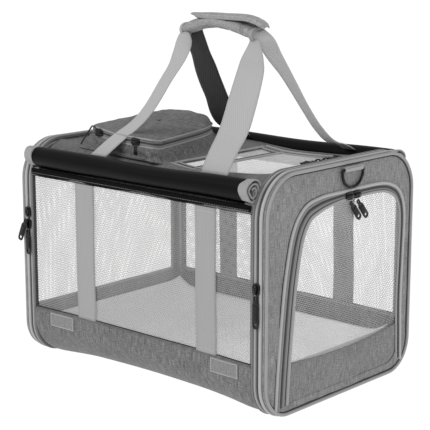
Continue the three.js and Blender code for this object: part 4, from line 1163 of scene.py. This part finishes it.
# this strap's inner face takes the dark copy of the webbing: painted shade
strap("handle_bl_webbing", "handle_back_left_strap",
      [(-94, 143, 302), (-90.5, 100, 330), (-83.4, 72, 369), (-76, 45, 403), (-64, 20, 434.8), (-62, 8, 452), (-60, 2, 464)],
      [(-56, 143, 302), (-48, 104, 334), (-38, 76, 366.9), (-31.7, 45, 405.8), (-27.5, 22, 436), (-25, 8, 458), (-24.4, 3, 468)], WEB_HANDLE, (0, 1, 0.4), inner=WEB_HANDLE_SHADE)
strap("handle_fr_webbing", "handle_front_right_strap",
      [(107, -143, 302), (99, -112, 345), (93.1, -82, 380.6), (78.8, -42, 419.7), (71.9, -24, 436), (72, -10, 455), (70, -5, 464)],
      [(152, -143, 302), (145.3, -112, 340), (139.5, -82, 372), (126, -44, 416), (112, -26, 434), (96, -12, 450), (86, -6, 460)], WEB_HANDLE, (0, -1, 0.4))
strap("handle_br_webbing", "handle_back_right_strap",
      [(119, 143, 300), (111, 98, 336), (103.3, 62, 375.2), (95.8, 36, 404.2), (90.5, 10, 431.5), (81.9, -6, 456), (73, -10, 467)],
      [(140, 143, 300), (127, 112, 326), (110.3, 78, 371), (101, 54, 404.5), (96.9, 32, 435.8), (95.7, 16, 460), (84, 9, 473)], WEB_HANDLE, (0.75, -0.5, 0.4))

gc = spline(arr([(-50, 468.5, 13.5, 7.0), (-43, 471.2, 15, 7.8), (-20, 478, 15.5, 8.2), (2, 480.8, 15.5, 8.0), (22, 480.4, 15.5, 8.0), (50, 475.3, 15.5, 8.2), (70, 469.8, 15, 8.2), (79, 466.4, 13.5, 7.4)]), 60)
th = np.arange(30) * TAU / 30
def grip_ring(r, grow=0.0):
    x, zc_, a, b = r
    c, s = np.cos(th), np.sin(th)
    return np.stack([np.full(30, x), (a + grow) * np.sign(c) * np.abs(c) ** 0.85, zc_ + (b + grow) * np.sign(s) * np.abs(s) ** 0.9], 1)
G = np.stack([grip_ring(r) for r in gc])
C = np.stack([gc[:, 0], np.zeros(60), gc[:, 1]], 1)[:, None]
R = unit(G - C)
G = G + R * (wob(G * arr([1, 1.5, 1.5]), 0.7, 26, 211) + 0.5 * np.abs(np.sin(th * 1.5))[None, :])[..., None]
P, F, uv = grid(G, cv=True, caps=True)
grip = add_obj("handle_grip_wrap", P, F, HEATHER_GRIP, "grip", uv, True)
smooth_by_angle(grip, 55)
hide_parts("handle_grip")
for nm, i, wdt in (("left", 1, 5.0), ("right", -2, 6.5)):
    r = gc[i]
    path = np.stack([grip_ring(gc[i], 0.4)])[0]
    n = unit(path - arr([r[0], 0, r[1]]))
    sweep(f"handle_grip_binding_{nm}", path, n, flat(wdt, 1.5, crown=0.7), PIPE if nm == "left" else BIND, "grip", closed=True)
for nm, a0 in (("seam", -0.35), ("seam_low", -1.25)):
    path = np.stack([[r[0], -(r[2] + .6) * math.cos(a0), r[1] + (r[3] + .6) * math.sin(a0)] for r in gc[2:-3]])
    bricks(f"handle_grip_{nm}_stitches", path, (0, -math.cos(a0), math.sin(a0)), THREAD, "grip", 3.2, (2.2, 0.6, 0.4))
for q in (61.0, 65.0):
    zc_, a, b = [float(np.interp(q, gc[:, 0], gc[:, k])) for k in (1, 2, 3)]
    t = np.linspace(2.6, 4.3, 14)
    path = np.stack([np.full(14, q), (a + .9) * np.cos(t), zc_ + (b + .9) * np.sin(t)], 1)
    bricks(f"handle_grip_cross_stitches_{int(q)}", path, unit(path - arr([q, 0, zc_])), THREAD_DARK, "grip", 2.8, (2.0, 0.6, 0.4))

# the wrap's free wing: a doubled cloth, sewn along its back edge
wx = arr([-30, -16, 12, 40, 56, 66, 75, 84, 90, 94])
fz = arr([490.6, 486.2, 485.6, 485.6, 485.2, 484.6, 483.2, 480.6, 477.6, 474.6])
tz = arr([491.2, 491.2, 491.6, 491.6, 491.4, 490.6, 488.6, 485.2, 481.6, 477.6])
bz = arr([487.0, 487.2, 487.4, 487.4, 487.0, 486.0, 484.4, 481.4, 478.2, 475.2])
fy = arr([-15, -14.6, -14.2, -14.2, -14, -13.6, -12.8, -11, -8.6, -5.0])
by = arr([1, 9, 12.4, 12.6, 12.6, 12.4, 12, 10.8, 9, 6])
u = np.linspace(0, 1, 64); wxs = np.interp(u, np.linspace(0, 1, 10), wx)
f_, t_, b_, yf, yb = (np.interp(wxs, wx, v) for v in (fz, tz, bz, fy, by))
k = np.linspace(0, 1, 15)
G = np.zeros((64, 15, 3))
G[..., 0] = wxs[:, None]
G[..., 1] = yf[:, None] * (1 - k) + yb[:, None] * k
bow = 1 - np.abs(2 * k - 1) ** 2.4
basez = f_[:, None] * (1 - k) + b_[:, None] * k
G[..., 2] = basez + (t_[:, None] - (f_[:, None] + b_[:, None]) / 2) * bow + wob(G, 0.5, 34, 221)
T1, T2 = np.gradient(G, axis=0), np.gradient(G, axis=1)
N = unit(np.cross(T1, T2)); N *= np.sign(N[..., 2:3])
rim = np.minimum(np.minimum(k, 1 - k)[None, :] * 26, np.minimum(u, 1 - u)[:, None] * 110)
puff = 0.7 + 0.9 * smooth01(rim / 3.5)
ring = np.concatenate([G + N * puff[..., None], (G - N * puff[..., None])[:, ::-1]], 1)
P, F, uv = grid(ring, cv=True, caps=True)
wing = add_obj("handle_wing_wrap", P, F, HEATHER_GRIP, "wing", uv, True)
smooth_by_angle(wing, 60)
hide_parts("handle_wing")
# black strip on its underside, just showing below the front edge: painted shade for the gap under the wing, in the form
# of hook tape
H0 = (G - N * (puff[..., None] + 0.15))[4:-7, 0:6]
H1 = (G - N * (puff[..., None] + 1.25))[4:-7, 0:6]
P, F, uv = grid(np.concatenate([H0, H1[:, ::-1]], 1), cv=True, caps=True)
gap_shade = add_obj("handle_wing_gap_shade_tape", P, F, BLACK_IN, "wing", uv, True)
smooth_by_angle(gap_shade, 50)
path = (G + N * 1.5)[3:-3, 2]
bricks("handle_wing_stitches", path, N[3:-3, 2], THREAD, "wing", 3.2, (2.2, 0.6, 0.4))

# ------------------------------------------------------------------ rings, sliders and tabs
def matrix(o, e1, e2, e3):
    """Drawing axes: X = e1, Y = e2, Z = e3, at o (mm)."""
    m = Matrix.Identity(4)
    for i, e in enumerate((e1, e2, e3)):
        for k in range(3):
            m[k][i] = float(e[k])
    for k in range(3):
        m[k][3] = float(o[k]) * MM
    return m

def plate2d(name, loops, thick, bevel, mat, body, mx, z0=0.0):
    cu = bpy.data.curves.new(name, "CURVE")
    cu.dimensions = "2D"; cu.fill_mode = "BOTH"
    cu.extrude = (thick / 2 - bevel) * MM; cu.bevel_depth = bevel * MM; cu.bevel_resolution = 2
    cu.offset = -bevel * MM
    for lp in loops:
        lp = arr(lp) * MM
        s = cu.splines.new("POLY"); s.points.add(len(lp) - 1)
        s.points.foreach_set("co", np.c_[lp, np.zeros(len(lp)), np.ones(len(lp))].ravel())
        s.use_cyclic_u = True
    ob = bpy.data.objects.new(name + "_c", cu)
    bpy.context.scene.collection.objects.link(ob)
    bpy.context.view_layer.update()
    me = bpy.data.meshes.new_from_object(ob.evaluated_get(bpy.context.evaluated_depsgraph_get()))
    bpy.data.objects.remove(ob); bpy.data.curves.remove(cu)
    me.transform(Matrix.Translation((0, 0, (z0 + thick / 2) * MM)))
    me.transform(mx)
    if mx.to_3x3().determinant() < 0:
        me.flip_normals()
    me.name = name
    me.materials.clear(); me.materials.append(mat)
    bm = bmesh.new(); bm.from_mesh(me)
    bmesh.ops.remove_doubles(bm, verts=bm.verts, dist=1e-6)
    bmesh.ops.recalc_face_normals(bm, faces=bm.faces); bm.to_mesh(me); bm.free()
    me.polygons.foreach_set("use_smooth", [True] * len(me.polygons))
    o = bpy.data.objects.new(name, me)
    bpy.context.scene.collection.objects.link(o)
    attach(o, body)
    return smooth_by_angle(o, 40)

def oval(cx, cy, a, b, n=20):
    t = np.arange(n) * TAU / n
    return np.stack([cx + a * np.cos(t), cy + b * np.sin(t)], 1)

def slider(name, p, along, out, mat=ENAMEL):
    """A zip slider at p: its nose points along, its face points out."""
    along, out = arr(along), arr(out)
    side = np.cross(along, out)
    p = arr(p); s = soft(p) - p
    mx = matrix(p + s, side, along, out)
    body = rounded([(-4.1, -7.4, 1.6), (4.1, -7.4, 1.6), (5.6, 0.5, 3), (5.6, 5.0, 3), (3.0, 7.5, 2), (-3.0, 7.5, 2), (-5.6, 5.0, 3), (-5.6, 0.5, 3)], 5)
    o = plate2d(f"{name}_body", [body], 2.6, 0.6, mat, name, mx, z0=-0.5)
    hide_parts(name)
    a = np.linspace(0, math.pi, 16)
    path = np.stack([np.zeros(16), -5.2 * np.cos(a) * 1.0 - 0.2, 1.9 + 3.6 * np.sin(a) ** 0.7], 1)
    W = path[:, :1] * side + path[:, 1:2] * along + path[:, 2:] * out + p + s
    sweep(f"{name}_bridge", W, side, arr([(1.7, .55), (1.7, -.55), (1.2, -.8), (-1.2, -.8), (-1.7, -.55), (-1.7, .55), (-1.2, .8), (1.2, .8)]), mat, name)
    for q in (-1, 1):
        plate2d(f"{name}_rail_{'a' if q < 0 else 'b'}", [rounded([(q * 4.6 - .5, -6.2, .3), (q * 4.6 + .5, -6.2, .3), (q * 4.9 + .5, 4.4, .3), (q * 4.9 - .5, 4.4, .3)], 3)], 1.0, 0.3, mat, name, mx, z0=2.0)
    return o

def pull(name, p, down, out, L, slider_p=None, lift=0.0):
    """A tab of length L hanging from its pin at p."""
    down, out = arr(down), arr(out)
    side = np.cross(out, down)
    p = arr(p)
    s = soft(slider_p if slider_p is not None else p) - arr(slider_p if slider_p is not None else p)
    mx = matrix(p + s, side, down, out)
    half = [(2.4, -1.6), (3.1, 0.8), (2.6, 3.8), (3.1, 6.2), (4.6, 8.4), (4.9, 12), (4.9, L - 9), (4.4, L - 4.2), (3.0, L - 2.0), (1.2, L - 1.5)] if L > 20 else \
           [(2.2, -1.6), (2.6, 0.8), (2.2, 3.0), (2.9, 5.0), (3.1, L - 4.5), (2.0, L - 2.0)]
    pts = half + [(-x, y) for x, y in half[::-1]]
    loop = rounded([(x, y, 1.0 if i not in (0, len(half) - 1) else .9) for i, (x, y) in enumerate(pts)], 3)
    holes = [oval(0, 1.4, 1.1, 1.5)]
    if L > 20:
        holes.append(rounded([(-2.3, L - 9.0, 1.2), (2.3, L - 9.0, 1.2), (2.0, L - 4.6, 1.4), (-2.0, L - 4.6, 1.4)], 4))
    o = plate2d(f"{name}_tab", [loop] + holes, 1.9, 0.45, ENAMEL_TAB, name, mx, z0=-0.95)
    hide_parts(name)
    if L > 20:
        pad = rounded([(-3.4, 10.2, 1.2), (3.4, 10.2, 1.2), (3.4, L - 11.2, 1.2), (-3.4, L - 11.2, 1.2)], 4)
        plate2d(f"{name}_grip", [pad], 1.1, 0.4, ENAMEL, name, mx, z0=0.7)
        for i, d in enumerate(np.arange(12.6, L - 12.6, 2.6)):
            plate2d(f"{name}_rib_{i}", [rounded([(-2.7, d - .45, .3), (2.7, d - .45, .3), (2.7, d + .45, .3), (-2.7, d + .45, .3)], 2)], 0.6, 0.2, ENAMEL_TAB, name, mx, z0=1.6)
    ringp = np.stack([np.zeros(20), 1.2 - 2.6 * np.cos(np.arange(20) * TAU / 20), 2.2 * np.sin(np.arange(20) * TAU / 20)], 1)
    W = ringp[:, :1] * side + ringp[:, 1:2] * down + ringp[:, 2:] * out + p + s
    return o

EX, EY, EZ = arr((1, 0, 0)), arr((0, 1, 0)), arr((0, 0, 1))
slider("right_gusset_slider", (215, -159.5, 170), EZ, -EY)
pull("right_gusset_pull", (215, -161.9, 159.8), -EZ, -EY, 42)
slider("left_gusset_upper_slider", (-215, -159.5, 208), -EZ, -EY)
h = -0.42; g = 1.2 + 2.4 * abs(math.sin(h))
pull("left_gusset_upper_pull", (-215 + 1.5 * math.sin(h), -165.25, 208 - 7.5 - g - 1.5 * math.cos(h)), arr((math.sin(h), 0, -math.cos(h))), -EY, 36)
slider("left_gusset_lower_slider", (-215, -159.5, 190.5), EZ, -EY)
pull("left_gusset_lower_pull", (-215, -161.9, 190.5 - 7.5 - 1.2 - 1.5), -EZ, -EY, 36)
h = 0.72; g = 1.2 + 2.4 * abs(math.sin(h))
for nm, y, d in (("front", 10.2, 1), ("back", 26.0, -1)):
    slider(f"right_door_{nm}_slider", (228.0, y, 265), EY * d, EX)
    pull(f"right_door_{nm}_pull", (230.3, y + 1.5 * math.sin(h), 265 - 5.5 - g - 1.5 * math.cos(h)), arr((0, math.sin(h), -math.cos(h))), EX, 34)
slider("top_door_front_slider", (189, -7, 309.8), EY, EZ)
pull("top_door_front_pull", (189, -17.2, 313.8), -EY, EZ, 26)
slider("top_door_back_slider", (189, 9, 309.8), -EY, EZ)
pull("top_door_back_pull", (189, 19.2, 313.8), EY, EZ, 26)
def at_pocket(x, z):
    i = int(np.argmin(np.abs(plan[:, 0] - x) + 1000 * (plan[:, 1] > -100)))
    return arr((x, plan[i, 1] - 1.5, zc[i] + 0.1 + z))
pl_ = at_pocket(-112, 0.0); pr_ = at_pocket(-34, 0.0)
slider("pocket_left_slider", pl_, EX, -EY)
slider("pocket_right_slider", pr_, -EX, -EY)
pull("pocket_right_pull", (pr_[0], -121.2, pr_[2] - 8.2), -EZ, -EY, 12, slider_p=pr_)

for end, sx, yc in (("right", 1, 14), ("left", -1, 0)):
    c = rounded([(-22.4, 276.5, 20.5), (22.4, 276.5, 20.5), (22.4, 300.6, 3.5), (-22.4, 300.6, 3.5)], 14)
    c = resample(c, 2.0)
    path = np.c_[np.full(len(c), sx * 230.6), c + arr((yc, 0))]
    o = sweep(f"{end}_ring_rod", path, (1, 0, 0), circle(1.95, 12), GUNMETAL, f"{end}_ring", closed=True)
    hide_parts(f"{end}_d_ring")
    # tab: webbing folded over the ring's bar
    prof = rounded([(226.5, 297.0, 1.0), (234.0, 297.4, 2.6), (234.2, 304.6, 2.8), (226.5, 304.4, 1.6)], 6)
    ys = np.linspace(-18.8, 18.8, 22)
    path = np.stack([np.zeros(22), ys + yc, np.zeros(22)], 1)
    G = np.stack([np.stack([sx * (prof[:, 0] - 0.25 * (abs(y) / 19) ** 4), np.full(len(prof), y + yc), prof[:, 1]], 1) for y in ys])
    P, F, uv = grid(G, cv=True, caps=True)
    uv = [u_[:, ::-1] for u_ in uv]
    o = add_obj(f"{end}_ring_tab_webbing", P, F, WEB, f"{end}_end", uv, True)
    smooth_by_angle(o, 50)
    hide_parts(f"{end}_d_ring_tab")
    path = np.stack([np.full(14, sx * 234.1), np.linspace(yc - 16, yc + 16, 14), np.full(14, 303.0)], 1)
    bricks(f"{end}_ring_tab_stitches", path, (sx, 0, 0), THREAD_DARK, f"{end}_end", 3.0, (2.1, 0.5, 0.35))

# CAD nodes that are shown as they are
for nm, m in (("base_board", BOARD),):
    ob = NODES[nm]
    ob.data.materials.clear(); ob.data.materials.append(m)
